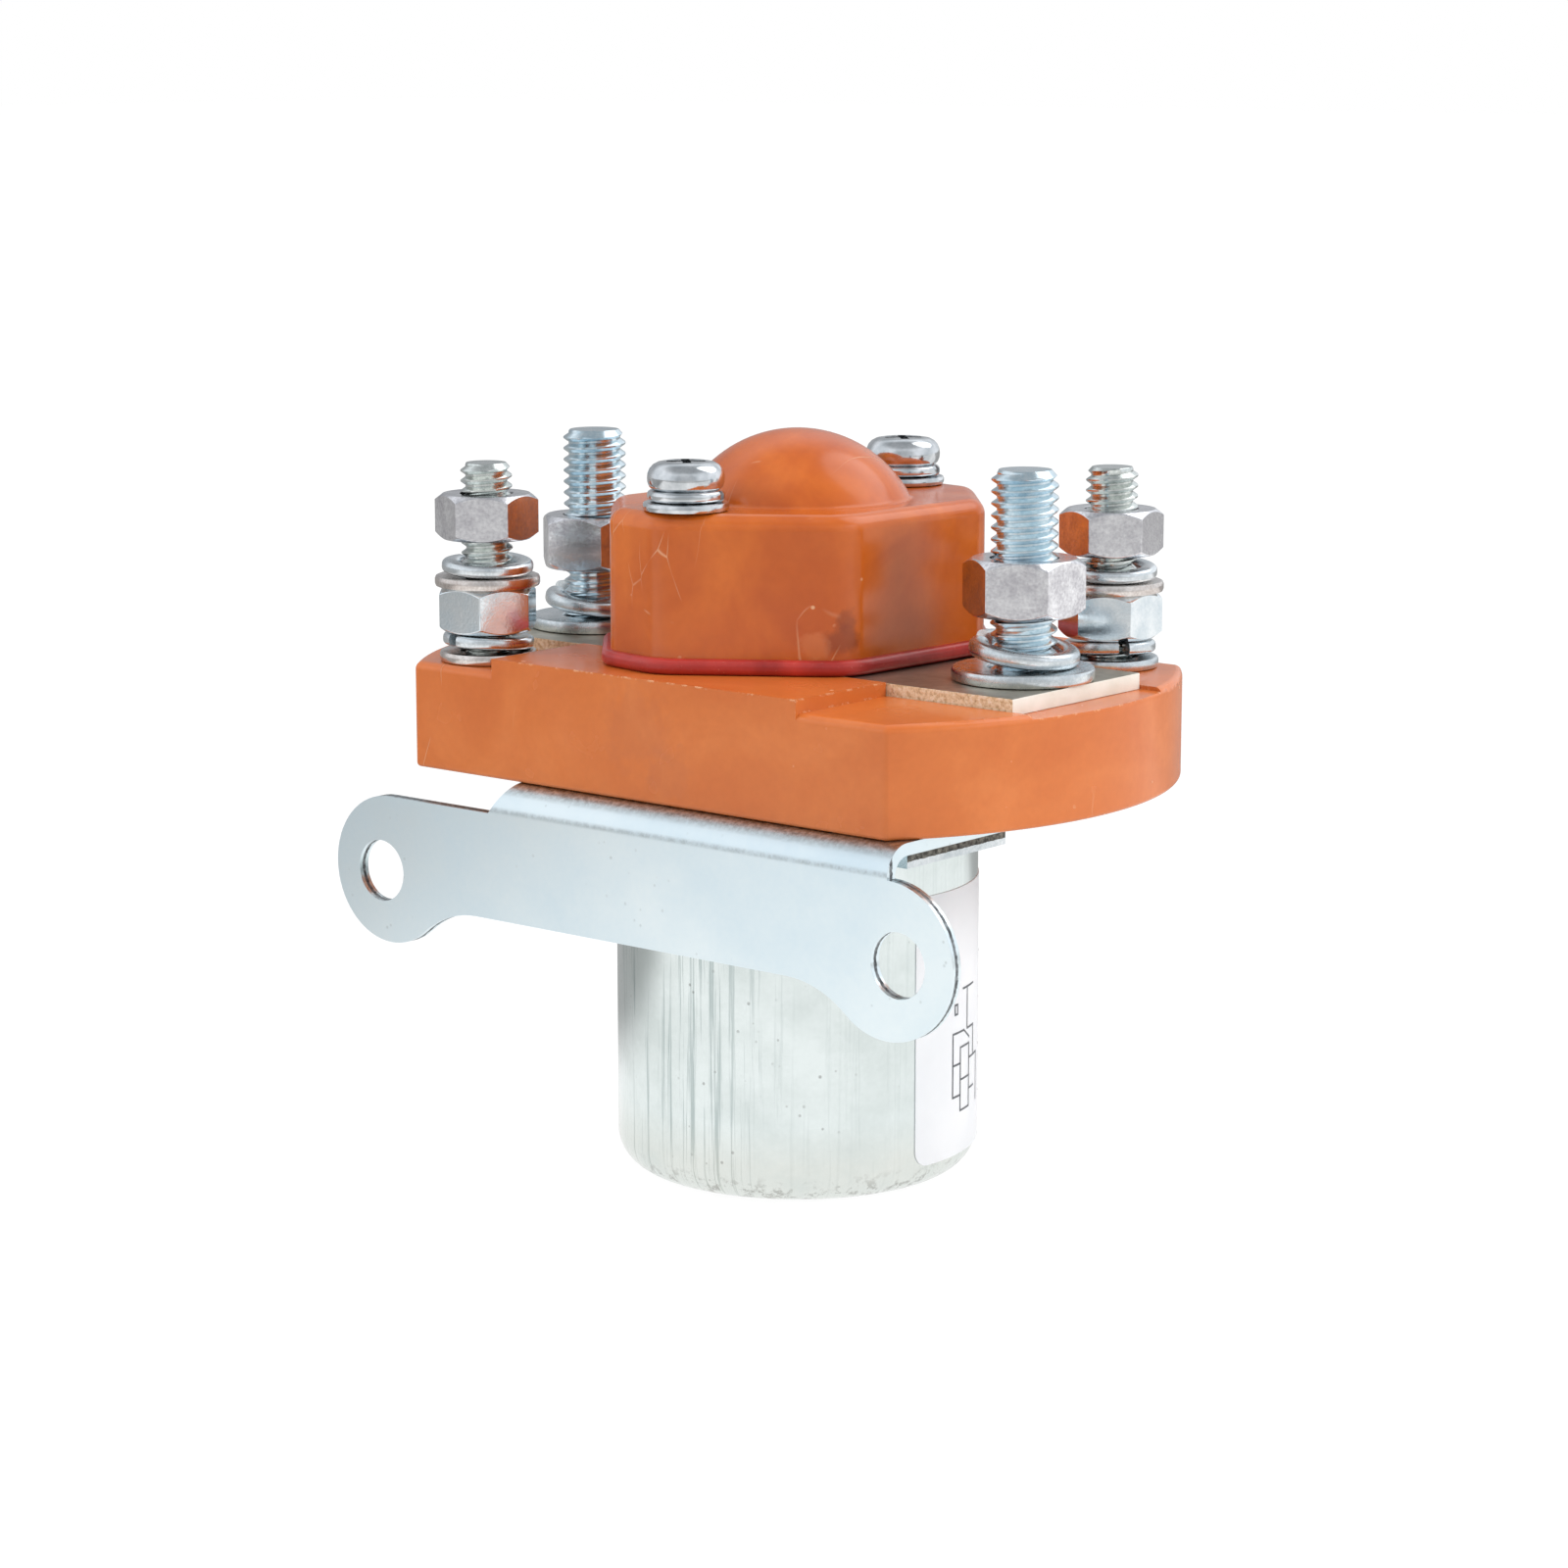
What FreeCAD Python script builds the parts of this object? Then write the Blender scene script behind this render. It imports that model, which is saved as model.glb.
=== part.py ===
import FreeCAD, Part
import math
import os

# A sealed direct-current contactor: a drawn steel can holds the coil, a moulded base stands on it,
# and a domed cover on the base holds the contacts. Millimetres, +Z up, origin at the can's bottom
# centre, X along the base's flat sides, the mounting bracket on the -Y side.

# Can
can_radius = 22.5
can_wall = 1.2
can_edge_radius = 4.5
can_height = 47.0

# Steel parts of the magnet
yoke_thickness = 3.0
yoke_lip = 1.5
yoke_bore_gap = 0.4
pole_plate_thickness = 2.5
core_height = 10.2
core_spigot_radius = 5.0
plunger_radius = 7.92
plunger_guide_gap = 0.08
stroke = 3.5
stop_gap = 0.1
stop_washer_thickness = 1.3
stop_washer_bore_gap = 0.5
rod_radius = 2.0
rod_press_depth = 8.0
rod_guide_gap = 0.08
rod_above_clip = 1.1

# Coil
bobbin_wall = 1.4
bobbin_flange = 1.5
bobbin_side_gap = 0.5
winding_depth = 10.2
wrap_thickness = 0.5
lead_radius = 0.9
lead_gap = 0.3
lead_place = 16.0
lead_rise = 4.0

# Return spring, held in a pocket of the core and one of the plunger
return_spring_radius = 4.2
return_wire_radius = 0.5
return_spring_turns = 7
wire_sides = 12
spring_pocket_radius = 5.2
core_pocket_depth = 4.0
plunger_pocket_depth = 9.0

# Bracket
sheet = 1.5
bend_radius = 3.7
bracket_front = 32.0
bracket_left = 19.8
bracket_right = 39.4
notch_width = 2.6
flange_depth = 18.5
flange_hole_gap = 0.4
ear_place = 39.5
ear_radius = 9.3
hole_place = 41.0
hole_height = 36.7
hole_radius = 3.85
plate_depth = 16.9
swoop_radius = 14.0

# Moulded base
base_radius = 47.3
base_half_width = 29.4
base_low_height = 13.2
band_rise = 1.6
band_half_length = 24.0
base_corner_radius = 1.0
base_edge_radius = 0.5
base_end_edge_radius = 1.0
cavity_half_length = 7.5
cavity_half_width = 15.5
cavity_depth = 6.7

# Terminal plates, let into slots in the base
plate_width = 25.4
plate_thickness = 2.0
plate_end = 42.4
plate_sink = 0.5
plate_side_gap = 0.1
plate_shoulder = 16.5
plate_neck_width = 12.0
plate_inner_end = 8.5

# Power studs and what is on them
power_places = {"left": 33.6, "right": 34.5}
power_radius = 3.97
power_pitch_radius = 3.51
power_tops = {"left": 90.0, "right": 89.5}
power_head_radius = 8.0
power_head_height = 5.0
power_nut_flats = 12.7
power_nut_height = 6.75
power_nut_lift = 6.1
power_flat_radius = 8.5
power_flat_thickness = 1.6
power_spring_radius = 6.6
power_spring_thickness = 2.0
power_spring_tilt = 8.0
power_spring_turn = 15.0
power_nut_turns = {"left": -72.0, "right": -61.5}

# Coil studs and what is on them
coil_place_x = 31.0
coil_place_y = 22.6
coil_radius = 3.175
coil_pitch_radius = 2.76
coil_top = 87.75
coil_head_radius = 6.0
coil_head_height = 4.0
coil_nut_flats = 11.11
coil_nut_height = 5.56
coil_nut_lifts = (2.9, 1.6)
coil_flat_radius = 6.0
coil_upper_flat_radius = 6.5
coil_flat_thickness = 1.4
coil_spring_radius = 5.65
coil_spring_thickness = 1.6
coil_spring_tilt = 3.8

# For each coil stud, how the lower and the upper one is turned
coil_spring_turns = {"left": (81.0, -10.0), "right": (144.0, -30.0)}
coil_nut_turns = {"left": (-25.0, -52.5), "right": (-62.0, -50.0)}

# Fits of the washers, studs and nuts
washer_bore_gap = 0.2
spring_bore_gap = 0.5
head_inset = 2.0
head_side_gap = 0.2
stud_hole_gap = 0.1
stud_chamfer = 0.7
washer_split = 1.6
washer_split_slant = 35.0
nut_face_share = 0.97
nut_bevel_share = 0.92

# Cover
cover_height = 19.0
cover_wall = 2.4
cover_turn = -3.0
cover_edge_radius = 2.0
screw_place = 19.6
pillar_radius = 5.2
dome_base_radius = 13.9
dome_height = 8.4
dome_foot_radius = 0.8
gasket_width = 1.1
gasket_height = 1.9
gasket_round = 0.8

# Half of the cover's eight plan corners: place across, place along and corner radius. The other half is
# the same, turned by 180 degrees, so each screw stands off the middle of its end.
cover_corners = ((18.6, -11.5, 6.0), (18.6, 13.7, 4.5), (8.2, 24.3, 4.0), (-0.5, 25.3, 5.0))

# Cover screws
screw_radius = 2.0
screw_head_radius = 4.65
screw_head_height = 3.5
screw_head_round = 1.8
screw_hole_gap = 0.3
screw_depth = 7.7
screw_flat_radius = 5.2
screw_flat_thickness = 1.1
screw_spring_radius = 4.65
screw_spring_thickness = 1.3
screw_spring_turn = 200.0
cross_length = 4.6
cross_width = 1.0
cross_depth = 1.7

# Screws that hold the base to the yoke
yoke_screw_place = 11.5
yoke_screw_radius = 2.0
yoke_screw_head_radius = 3.6
yoke_screw_head_height = 2.4
yoke_screw_slot_width = 0.9
yoke_screw_slot_depth = 1.0

# Contacts
tip_radius = 3.5
tip_thickness = 1.0
tip_place = 12.0
contact_gap = 2.5
bridge_half_length = 15.5
bridge_half_width = 4.5
bridge_thickness = 2.0
bush_flange_radius = 5.2
bush_flange_thickness = 1.5
bush_sleeve_radius = 3.2
bush_sleeve_height = 2.9
bridge_bore_gap = 0.06
insulator_radius = 5.8
insulator_thickness = 1.0
contact_spring_radius = 4.4
contact_wire_radius = 0.45
contact_spring_turns = 6
contact_spring_height = 10.0
cap_radius = 5.8
cap_thickness = 1.2
clip_radius = 3.6
clip_thickness = 0.8
clip_groove_depth = 0.5
clip_mouth = 2.4

# Label on the can
label_start = -11.0
label_sweep = 100.0
label_bottom = 3.6
label_top = 37.2
label_thickness = 0.12
label_corner_radius = 2.0

# Levels that follow from the sizes above
yoke_bottom = can_height - yoke_thickness
lip_top = can_height + yoke_lip
flange_top = lip_top + sheet
ear_height = flange_top - bend_radius - ear_radius
plate_bottom = flange_top - plate_depth
base_bottom = flange_top
base_low = base_bottom + base_low_height
band_top = base_low + band_rise
cavity_floor = band_top - cavity_depth
plate_floor = base_low - plate_sink
plate_top = plate_floor + plate_thickness
cover_top = band_top + cover_height
plunger_top = flange_top - stop_washer_thickness - stop_gap
core_bottom = can_wall + pole_plate_thickness
core_top = core_bottom + core_height
plunger_bottom = core_top + stroke + stop_gap
bridge_bottom = plate_top + 2 * tip_thickness + contact_gap
bridge_top = bridge_bottom + bridge_thickness
cap_bottom = bridge_top + insulator_thickness + contact_spring_height
clip_bottom = cap_bottom + cap_thickness
rod_top = clip_bottom + clip_thickness + rod_above_clip
dome_radius = (dome_base_radius ** 2 + dome_height ** 2) / (2 * dome_height)
dome_centre = cover_top + dome_height - dome_radius
bobbin_bore = plunger_radius + plunger_guide_gap
bobbin_radius = can_radius - can_wall - bobbin_side_gap
winding_inner = bobbin_bore + bobbin_wall
winding_outer = winding_inner + winding_depth
coil_angle = math.degrees(math.atan2(coil_place_y, coil_place_x))
SIDES = (("left", -1), ("right", 1))
cut_through = 1.0


def at(x, y, z):
    return FreeCAD.Vector(x, y, z)


def cylinder(radius, low, high, x=0.0, y=0.0):
    return Part.makeCylinder(radius, high - low, at(x, y, low))


def ring(outer, inner, low, high, x=0.0, y=0.0):
    hole = cylinder(inner, low - cut_through, high + cut_through, x, y)
    return cylinder(outer, low, high, x, y).cut(hole)


def block(x_low, x_high, y_low, y_high, z_low, z_high):
    return Part.makeBox(x_high - x_low, y_high - y_low, z_high - z_low, at(x_low, y_low, z_low))


def turned(shape, degrees, x=0.0, y=0.0):
    copy = shape.copy()
    copy.rotate(at(x, y, 0), at(0, 0, 1), degrees)
    return copy


def around(radius, degrees):
    angle = math.radians(degrees)
    return radius * math.cos(angle), radius * math.sin(angle)


def prism(edges, height):
    return Part.Face(Part.Wire(edges)).extrude(at(0, 0, height))


def line(start, end):
    return Part.LineSegment(start, end).toShape()


def arc(start, middle, end):
    return Part.Arc(start, middle, end).toShape()


def edges_at(shape, level):
    # the outline edges that lie wholly on one level
    return [e for e in shape.Edges
            if abs(e.BoundBox.ZMin - level) < 1e-3 and abs(e.BoundBox.ZMax - level) < 1e-3]


def upright_edges(shape, x, y, reach):
    # straight upright edges near one point in plan
    found = []
    for e in shape.Edges:
        box = e.BoundBox
        upright = box.XLength < 1e-3 and box.YLength < 1e-3
        if upright and math.hypot(box.Center.x - x, box.Center.y - y) < reach:
            found.append(e)
    return found


def spring(radius, wire_radius, turns, low, high):
    # a plain coil whose first and last turns touch the two seats, its wire drawn with twelve sides
    length = high - low - 2 * wire_radius
    path = Part.makeHelix(length / turns, length, radius)
    path.translate(at(0, 0, low + wire_radius))
    corners = []
    for k in range(wire_sides + 1):
        across, up = around(wire_radius, 360 * (k % wire_sides) / wire_sides)
        corners.append(at(radius + across, 0, low + wire_radius + up))
    return Part.Wire(path.Edges).makePipeShell([Part.makePolygon(corners)], True, True)


def spring_washer(outer, bore, thickness, tilt, low, x, y, turn):
    # a ring split at its high side and sprung open, so it leans and touches only at its low side
    washer = ring(outer, bore, 0, thickness)
    gap = block(-outer - cut_through, -bore / 2, -washer_split / 2, washer_split / 2,
                -cut_through, thickness + cut_through)
    gap.rotate(at(0, 0, thickness / 2), at(1, 0, 0), washer_split_slant)
    washer = washer.cut(gap)
    washer.rotate(at(0, 0, 0), at(0, 1, 0), tilt)
    washer.rotate(at(0, 0, 0), at(0, 0, 1), turn)
    washer.translate(at(x, y, low + outer * math.sin(math.radians(tilt))))
    return washer


def nut(flats, height, bore, low, x, y, turn):
    # a hexagon with both faces chamfered to the circle across its flats
    corner = flats / 2 / math.cos(math.radians(30))
    points = [at(x + around(corner, turn + 30 + 60 * k)[0], y + around(corner, turn + 30 + 60 * k)[1], low)
              for k in range(6)]
    sides = [line(points[k], points[(k + 1) % 6]) for k in range(6)]
    body = prism(sides, height)
    drop = (corner - flats / 2) * nut_bevel_share
    flat_radius = flats / 2 * nut_face_share
    profile = [at(x, y, low), at(x + flat_radius, y, low), at(x + corner, y, low + drop),
               at(x + corner, y, low + height - drop), at(x + flat_radius, y, low + height),
               at(x, y, low + height)]
    loop = [line(profile[k], profile[(k + 1) % 6]) for k in range(6)]
    turned_blank = Part.Face(Part.Wire(loop)).revolve(at(x, y, 0), at(0, 0, 1), 360)
    body = body.common(turned_blank)
    return body.cut(cylinder(bore, low - cut_through, low + height + cut_through, x, y))


def stud(radius, pitch_radius, head_radius, head_height, top, x, y, nuts):
    # plain at the thread's outside, and at its pitch radius inside each nut, where the two threads meet
    head_low = base_bottom + head_inset
    shank = cylinder(radius, head_low, top, x, y)
    shank = shank.makeChamfer(stud_chamfer, edges_at(shank, top))
    head = cylinder(head_radius, head_low, head_low + head_height, x, y)
    body = head.fuse(shank).removeSplitter()
    for low, high in nuts:
        body = body.cut(ring(radius + cut_through, pitch_radius, low, high, x, y))
    return body


def cover_outline(offset, low, height):
    # the plan's eight sides moved out by the offset, then each corner rounded
    corners = list(cover_corners) + [(-x, -y, radius) for x, y, radius in cover_corners]
    count = len(corners)
    normals = []
    for k in range(count):
        along = at(corners[(k + 1) % count][0] - corners[k][0], corners[(k + 1) % count][1] - corners[k][1], 0)
        normals.append(at(along.y, -along.x, 0).normalize())
    points = []
    for k, (x, y, radius) in enumerate(corners):
        before, after = normals[k - 1], normals[k]
        reach = offset / (1 + before.dot(after))
        points.append(at(x, y, low) + (before + after) * reach)
    body = prism([line(points[k], points[(k + 1) % count]) for k in range(count)], height)
    for point, corner in zip(points, corners):
        body = body.makeFillet(corner[2] + offset, upright_edges(body, point.x, point.y, 0.1))
    return body


def cover_screws_at():
    # the two cover screws' places, as name, x and y
    front = around(screw_place, -90 + cover_turn)
    rear = around(screw_place, 90 + cover_turn)
    return (("front", front[0], front[1]), ("rear", rear[0], rear[1]))


def coil_studs_at():
    return (("left", -coil_place_x, -coil_place_y, coil_nut_lifts[0]),
            ("right", coil_place_x, coil_place_y, coil_nut_lifts[1]))


def lead_holes(radius, low, high):
    holes = []
    for turn in (0, 180):
        x, y = around(lead_place, coil_angle + turn)
        holes.append(cylinder(radius, low, high, x, y))
    return holes


def make_can():
    outside = cylinder(can_radius, 0, can_height)
    outside = outside.makeFillet(can_edge_radius, edges_at(outside, 0))
    inside = cylinder(can_radius - can_wall, can_wall, can_height + cut_through)
    inside = inside.makeFillet(can_edge_radius - can_wall, edges_at(inside, can_wall))
    return outside.cut(inside)


def make_yoke():
    # a plate inside the can's mouth, with a lip over the rim that reaches to the bracket's right end
    plate = cylinder(can_radius - can_wall, yoke_bottom, can_height)
    rear = bend_radius - bracket_front + flange_depth
    lip = cylinder(can_radius, can_height, lip_top)
    tongue = block(0, bracket_right, bend_radius - bracket_front, rear, can_height, lip_top)
    body = plate.fuse([lip, tongue]).removeSplitter()
    cuts = [cylinder(plunger_radius + yoke_bore_gap, yoke_bottom - cut_through, lip_top + cut_through)]
    for side in (-1, 1):
        cuts.append(cylinder(yoke_screw_radius, yoke_bottom - cut_through, lip_top + cut_through,
                             0, side * yoke_screw_place))
    cuts += lead_holes(lead_radius + lead_gap, yoke_bottom - cut_through, lip_top + cut_through)
    return body.cut(cuts)


def make_pole_plate():
    radius = can_radius - can_edge_radius
    return ring(radius, core_spigot_radius, can_wall, core_bottom)


def make_core():
    body = cylinder(bobbin_bore, core_bottom, core_top)
    spigot = cylinder(core_spigot_radius, can_wall, core_bottom)
    pocket = cylinder(spring_pocket_radius, core_top - core_pocket_depth, core_top + cut_through)
    return body.fuse(spigot).removeSplitter().cut(pocket)


def make_bobbin():
    body = ring(winding_inner, bobbin_bore, core_bottom, yoke_bottom)
    lower = ring(bobbin_radius, bobbin_bore, core_bottom, core_bottom + bobbin_flange)
    upper = ring(bobbin_radius, bobbin_bore, yoke_bottom - bobbin_flange, yoke_bottom)
    holes = lead_holes(lead_radius + lead_gap, yoke_bottom - bobbin_flange - cut_through,
                       yoke_bottom + cut_through)
    return body.fuse([lower, upper]).removeSplitter().cut(holes)


def make_lead(turn):
    # up from the winding, then out along a groove under the base to the stud's head
    level = base_bottom + lead_rise - lead_radius
    start_x, start_y = around(lead_place, coil_angle + turn)
    reach = math.hypot(coil_place_x, coil_place_y) - coil_head_radius
    upright = cylinder(lead_radius, yoke_bottom - bobbin_flange, level, start_x, start_y)
    direction = at(start_x / lead_place, start_y / lead_place, 0)
    along = Part.makeCylinder(lead_radius, reach - lead_place, at(start_x, start_y, level), direction)
    knee = Part.makeSphere(lead_radius, at(start_x, start_y, level))
    return upright.fuse([along, knee]).removeSplitter()


def lead_groove(turn):
    half = lead_radius + lead_gap
    reach = math.hypot(coil_place_x, coil_place_y)
    groove = block(lead_place - half, reach, -half, half, flange_top - cut_through, base_bottom + lead_rise)
    return turned(groove, coil_angle + turn)


def make_plunger():
    body = cylinder(plunger_radius, plunger_bottom, plunger_top)
    pocket = cylinder(spring_pocket_radius, plunger_bottom - cut_through,
                      plunger_bottom + plunger_pocket_depth)
    socket = cylinder(rod_radius, plunger_top - rod_press_depth, plunger_top + cut_through)
    return body.cut([pocket, socket])


def make_rod():
    rod = cylinder(rod_radius, plunger_top - rod_press_depth, rod_top)
    groove = ring(rod_radius + cut_through, rod_radius - clip_groove_depth,
                  clip_bottom, clip_bottom + clip_thickness)
    return rod.cut(groove)


def make_stop_washer():
    outer = plunger_radius + yoke_bore_gap
    return ring(outer, rod_radius + stop_washer_bore_gap, flange_top - stop_washer_thickness, flange_top)


def ear_sweep(side):
    # where the concave swoop starts on the plate's lower edge, and where it meets the ear
    centre_z = plate_bottom - swoop_radius
    rise = ear_height - centre_z
    run = math.sqrt((swoop_radius + ear_radius) ** 2 - rise ** 2)
    start = ear_place - run
    share = ear_radius / (swoop_radius + ear_radius)
    meet_x = ear_place - run * share
    meet_z = ear_height - rise * share
    angle = math.atan2(meet_z - centre_z, meet_x - start)
    middle = (math.pi / 2 + angle) / 2
    middle_x = start + swoop_radius * math.cos(middle)
    middle_z = centre_z + swoop_radius * math.sin(middle)
    return side * start, (side * middle_x, middle_z), (side * meet_x, meet_z)


def make_front_plate():
    # the plate's outline in X and Z, with a round ear at each end
    left_start, left_middle, left_meet = ear_sweep(-1)
    right_start, right_middle, right_meet = ear_sweep(1)

    def spot(x, z):
        return at(x, -bracket_front, z)

    left_top = spot(-ear_place, ear_height + ear_radius)
    right_top = spot(ear_place, ear_height + ear_radius)
    edges = [
        line(spot(left_start, plate_bottom), spot(right_start, plate_bottom)),
        arc(spot(right_start, plate_bottom), spot(*right_middle), spot(*right_meet)),
        arc(spot(*right_meet), spot(ear_place + ear_radius, ear_height), right_top),
        line(right_top, left_top),
        arc(left_top, spot(-ear_place - ear_radius, ear_height), spot(*left_meet)),
        arc(spot(*left_meet), spot(*left_middle), spot(left_start, plate_bottom)),
    ]
    return Part.Face(Part.Wire(edges)).extrude(at(0, sheet, 0))


def make_bend():
    # the folded strip between the front plate and the flange, with its left end cut on a slant
    left = -bracket_left - notch_width
    centre_y = bend_radius - bracket_front
    centre_z = flange_top - bend_radius
    inner = bend_radius - sheet
    slope = math.sin(math.radians(45))

    def spot(y, z):
        return at(left, y, z)

    edges = [
        line(spot(-bracket_front, centre_z), spot(-bracket_front + sheet, centre_z)),
        arc(spot(-bracket_front + sheet, centre_z),
            spot(centre_y - inner * slope, centre_z + inner * slope), spot(centre_y, lip_top)),
        line(spot(centre_y, lip_top), spot(centre_y, flange_top)),
        arc(spot(centre_y, flange_top),
            spot(centre_y - bend_radius * slope, centre_z + bend_radius * slope),
            spot(-bracket_front, centre_z)),
    ]
    strip = Part.Face(Part.Wire(edges)).extrude(at(bracket_right - left, 0, 0))
    corners = [spot(-bracket_front - cut_through, centre_z),
               spot(-bracket_front - cut_through, flange_top + cut_through),
               spot(centre_y + cut_through, flange_top + cut_through),
               spot(centre_y + cut_through, centre_z)]
    low_edge = Part.Wire([line(corners[0], at(left - cut_through, corners[0].y, centre_z)),
                          line(at(left - cut_through, corners[0].y, centre_z),
                               at(left - cut_through, corners[0].y, flange_top)),
                          line(at(left - cut_through, corners[0].y, flange_top),
                               at(-bracket_left, corners[0].y, flange_top)),
                          line(at(-bracket_left, corners[0].y, flange_top), corners[0])])
    slant = Part.Face(low_edge).extrude(at(0, corners[3].y - corners[0].y, 0))
    return strip.cut(slant)


def make_bracket():
    rear = bend_radius - bracket_front + flange_depth
    flange = block(-bracket_left, bracket_right, bend_radius - bracket_front, rear, lip_top, flange_top)
    disc = cylinder(can_radius, lip_top, flange_top)
    body = make_front_plate().fuse([make_bend(), flange, disc]).removeSplitter()
    cuts = [cylinder(plunger_radius + yoke_bore_gap + flange_hole_gap, lip_top - cut_through,
                     flange_top + cut_through)]
    for side in (-1, 1):
        cuts.append(Part.makeCylinder(hole_radius, sheet + 2 * cut_through,
                                      at(side * hole_place, -bracket_front - cut_through, hole_height),
                                      at(0, 1, 0)))
        cuts.append(cylinder(yoke_screw_radius + screw_hole_gap, lip_top - cut_through,
                             flange_top + cut_through, 0, side * yoke_screw_place))
    cuts += lead_holes(lead_radius + lead_gap, lip_top - cut_through, flange_top + cut_through)
    return body.cut(cuts)


def base_body():
    body = cylinder(base_radius, base_bottom, band_top)
    body = body.common(block(-base_radius, base_radius, -base_half_width, base_half_width,
                             base_bottom, band_top))
    corner = math.sqrt(base_radius ** 2 - base_half_width ** 2)
    corners = []
    for x in (-corner, corner):
        for y in (-base_half_width, base_half_width):
            corners += upright_edges(body, x, y, 0.1)
    body = body.makeFillet(base_corner_radius, corners)
    steps = []
    for side in (-1, 1):
        low, high = sorted((side * band_half_length, side * (base_radius + cut_through)))
        steps.append(block(low, high, -base_radius, base_radius, base_low, band_top + cut_through))
    body = body.cut(steps)
    body = body.makeFillet(base_edge_radius, edges_at(body, base_bottom))
    rims = [e for e in edges_at(body, base_low)
            if abs(e.BoundBox.Center.x) > band_half_length + base_corner_radius]
    return body.makeFillet(base_end_edge_radius, rims)


def plate_slot(side):
    half = plate_width / 2 + plate_side_gap
    neck = plate_neck_width / 2 + plate_side_gap
    wide = block(plate_shoulder - plate_side_gap, base_radius + cut_through, -half, half,
                 plate_floor, band_top + cut_through)
    narrow = block(cavity_half_length - cut_through, plate_shoulder, -neck, neck,
                   plate_floor, band_top + cut_through)
    slot = wide.fuse(narrow)
    return slot if side > 0 else turned(slot, 180)


def make_base():
    body = base_body()
    cuts = [block(-cavity_half_length, cavity_half_length, -cavity_half_width, cavity_half_width,
                  cavity_floor, band_top + cut_through),
            cylinder(rod_radius + rod_guide_gap, flange_top - cut_through, cavity_floor + cut_through)]
    for name, side in SIDES:
        x = side * power_places[name]
        cuts.append(plate_slot(side))
        cuts.append(cylinder(power_head_radius + head_side_gap, base_bottom - cut_through,
                             base_bottom + head_inset + power_head_height, x, 0))
        cuts.append(cylinder(power_radius + stud_hole_gap, base_bottom, band_top, x, 0))
        cuts.append(cylinder(yoke_screw_radius + screw_hole_gap, flange_top - cut_through,
                             cavity_floor + cut_through, 0, side * yoke_screw_place))
    for name, x, y, lift in coil_studs_at():
        cuts.append(cylinder(coil_head_radius + head_side_gap, base_bottom - cut_through,
                             base_bottom + head_inset + coil_head_height, x, y))
        cuts.append(cylinder(coil_radius + stud_hole_gap, base_bottom, band_top, x, y))
    for name, x, y in cover_screws_at():
        cuts.append(cylinder(screw_radius, band_top - screw_depth, band_top + cut_through, x, y))
    cuts += [lead_groove(0), lead_groove(180)]
    return body.cut(cuts)


def make_terminal_plate(name, side):
    half = plate_width / 2
    neck = plate_neck_width / 2
    wide = block(plate_shoulder, plate_end, -half, half, plate_floor, plate_top)
    narrow = block(plate_inner_end, plate_shoulder, -neck, neck, plate_floor, plate_top)
    plate = wide.fuse(narrow).removeSplitter()
    hole = cylinder(power_radius + stud_hole_gap, plate_floor - cut_through, plate_top + cut_through,
                    power_places[name], 0)
    plate = plate.cut(hole)
    return plate if side > 0 else turned(plate, 180)


def make_cover():
    shell = cover_outline(0.0, band_top, cover_height)
    shell = shell.makeFillet(cover_edge_radius, edges_at(shell, cover_top))
    ball = Part.makeSphere(dome_radius, at(0, 0, dome_centre))
    cap = ball.common(cylinder(dome_radius, cover_top - cover_wall / 2, cover_top + 2 * dome_height))
    shell = shell.fuse(cap).removeSplitter()
    foot = [e for e in edges_at(shell, cover_top)
            if abs(e.BoundBox.XLength - 2 * dome_base_radius) < 0.05]
    shell = shell.makeFillet(dome_foot_radius, foot)
    hollow = cover_outline(-cover_wall, band_top - cut_through, cover_height - cover_wall + cut_through)
    inner_ball = Part.makeSphere(dome_radius - cover_wall, at(0, 0, dome_centre))
    inner_cap = inner_ball.common(cylinder(dome_radius, cover_top - 2 * cover_wall,
                                           cover_top + dome_height))
    pillars = [cylinder(pillar_radius, band_top - cut_through, cover_top, 0, y)
               for y in (-screw_place, screw_place)]
    hollow = hollow.cut(pillars).fuse(inner_cap)
    holes = [cylinder(screw_radius + screw_hole_gap, band_top - cut_through, cover_top + cut_through, 0, y)
             for y in (-screw_place, screw_place)]
    return turned(shell.cut([hollow] + holes), cover_turn)


def make_gasket():
    outside = cover_outline(gasket_width, band_top, gasket_height)
    outside = outside.makeFillet(gasket_round, edges_at(outside, band_top + gasket_height))
    outside = outside.makeFillet(gasket_round, edges_at(outside, band_top))
    inside = cover_outline(0.0, band_top - cut_through, gasket_height + 2 * cut_through)
    return turned(outside.cut(inside), cover_turn)


def make_cover_screw(x, y, low):
    head_top = low + screw_head_height
    head = cylinder(screw_head_radius, low, head_top, x, y)
    head = head.makeFillet(screw_head_round, edges_at(head, head_top))
    shank = cylinder(screw_radius, band_top - screw_depth, low, x, y)
    screw = head.fuse(shank).removeSplitter()
    bars = []
    for length, width in ((cross_length, cross_width), (cross_width, cross_length)):
        bars.append(block(x - length / 2, x + length / 2, y - width / 2, y + width / 2,
                          head_top - cross_depth, head_top + cut_through))
    cross = turned(bars[0].fuse(bars[1]), 45, x, y)
    return screw.cut(cross)


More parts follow.
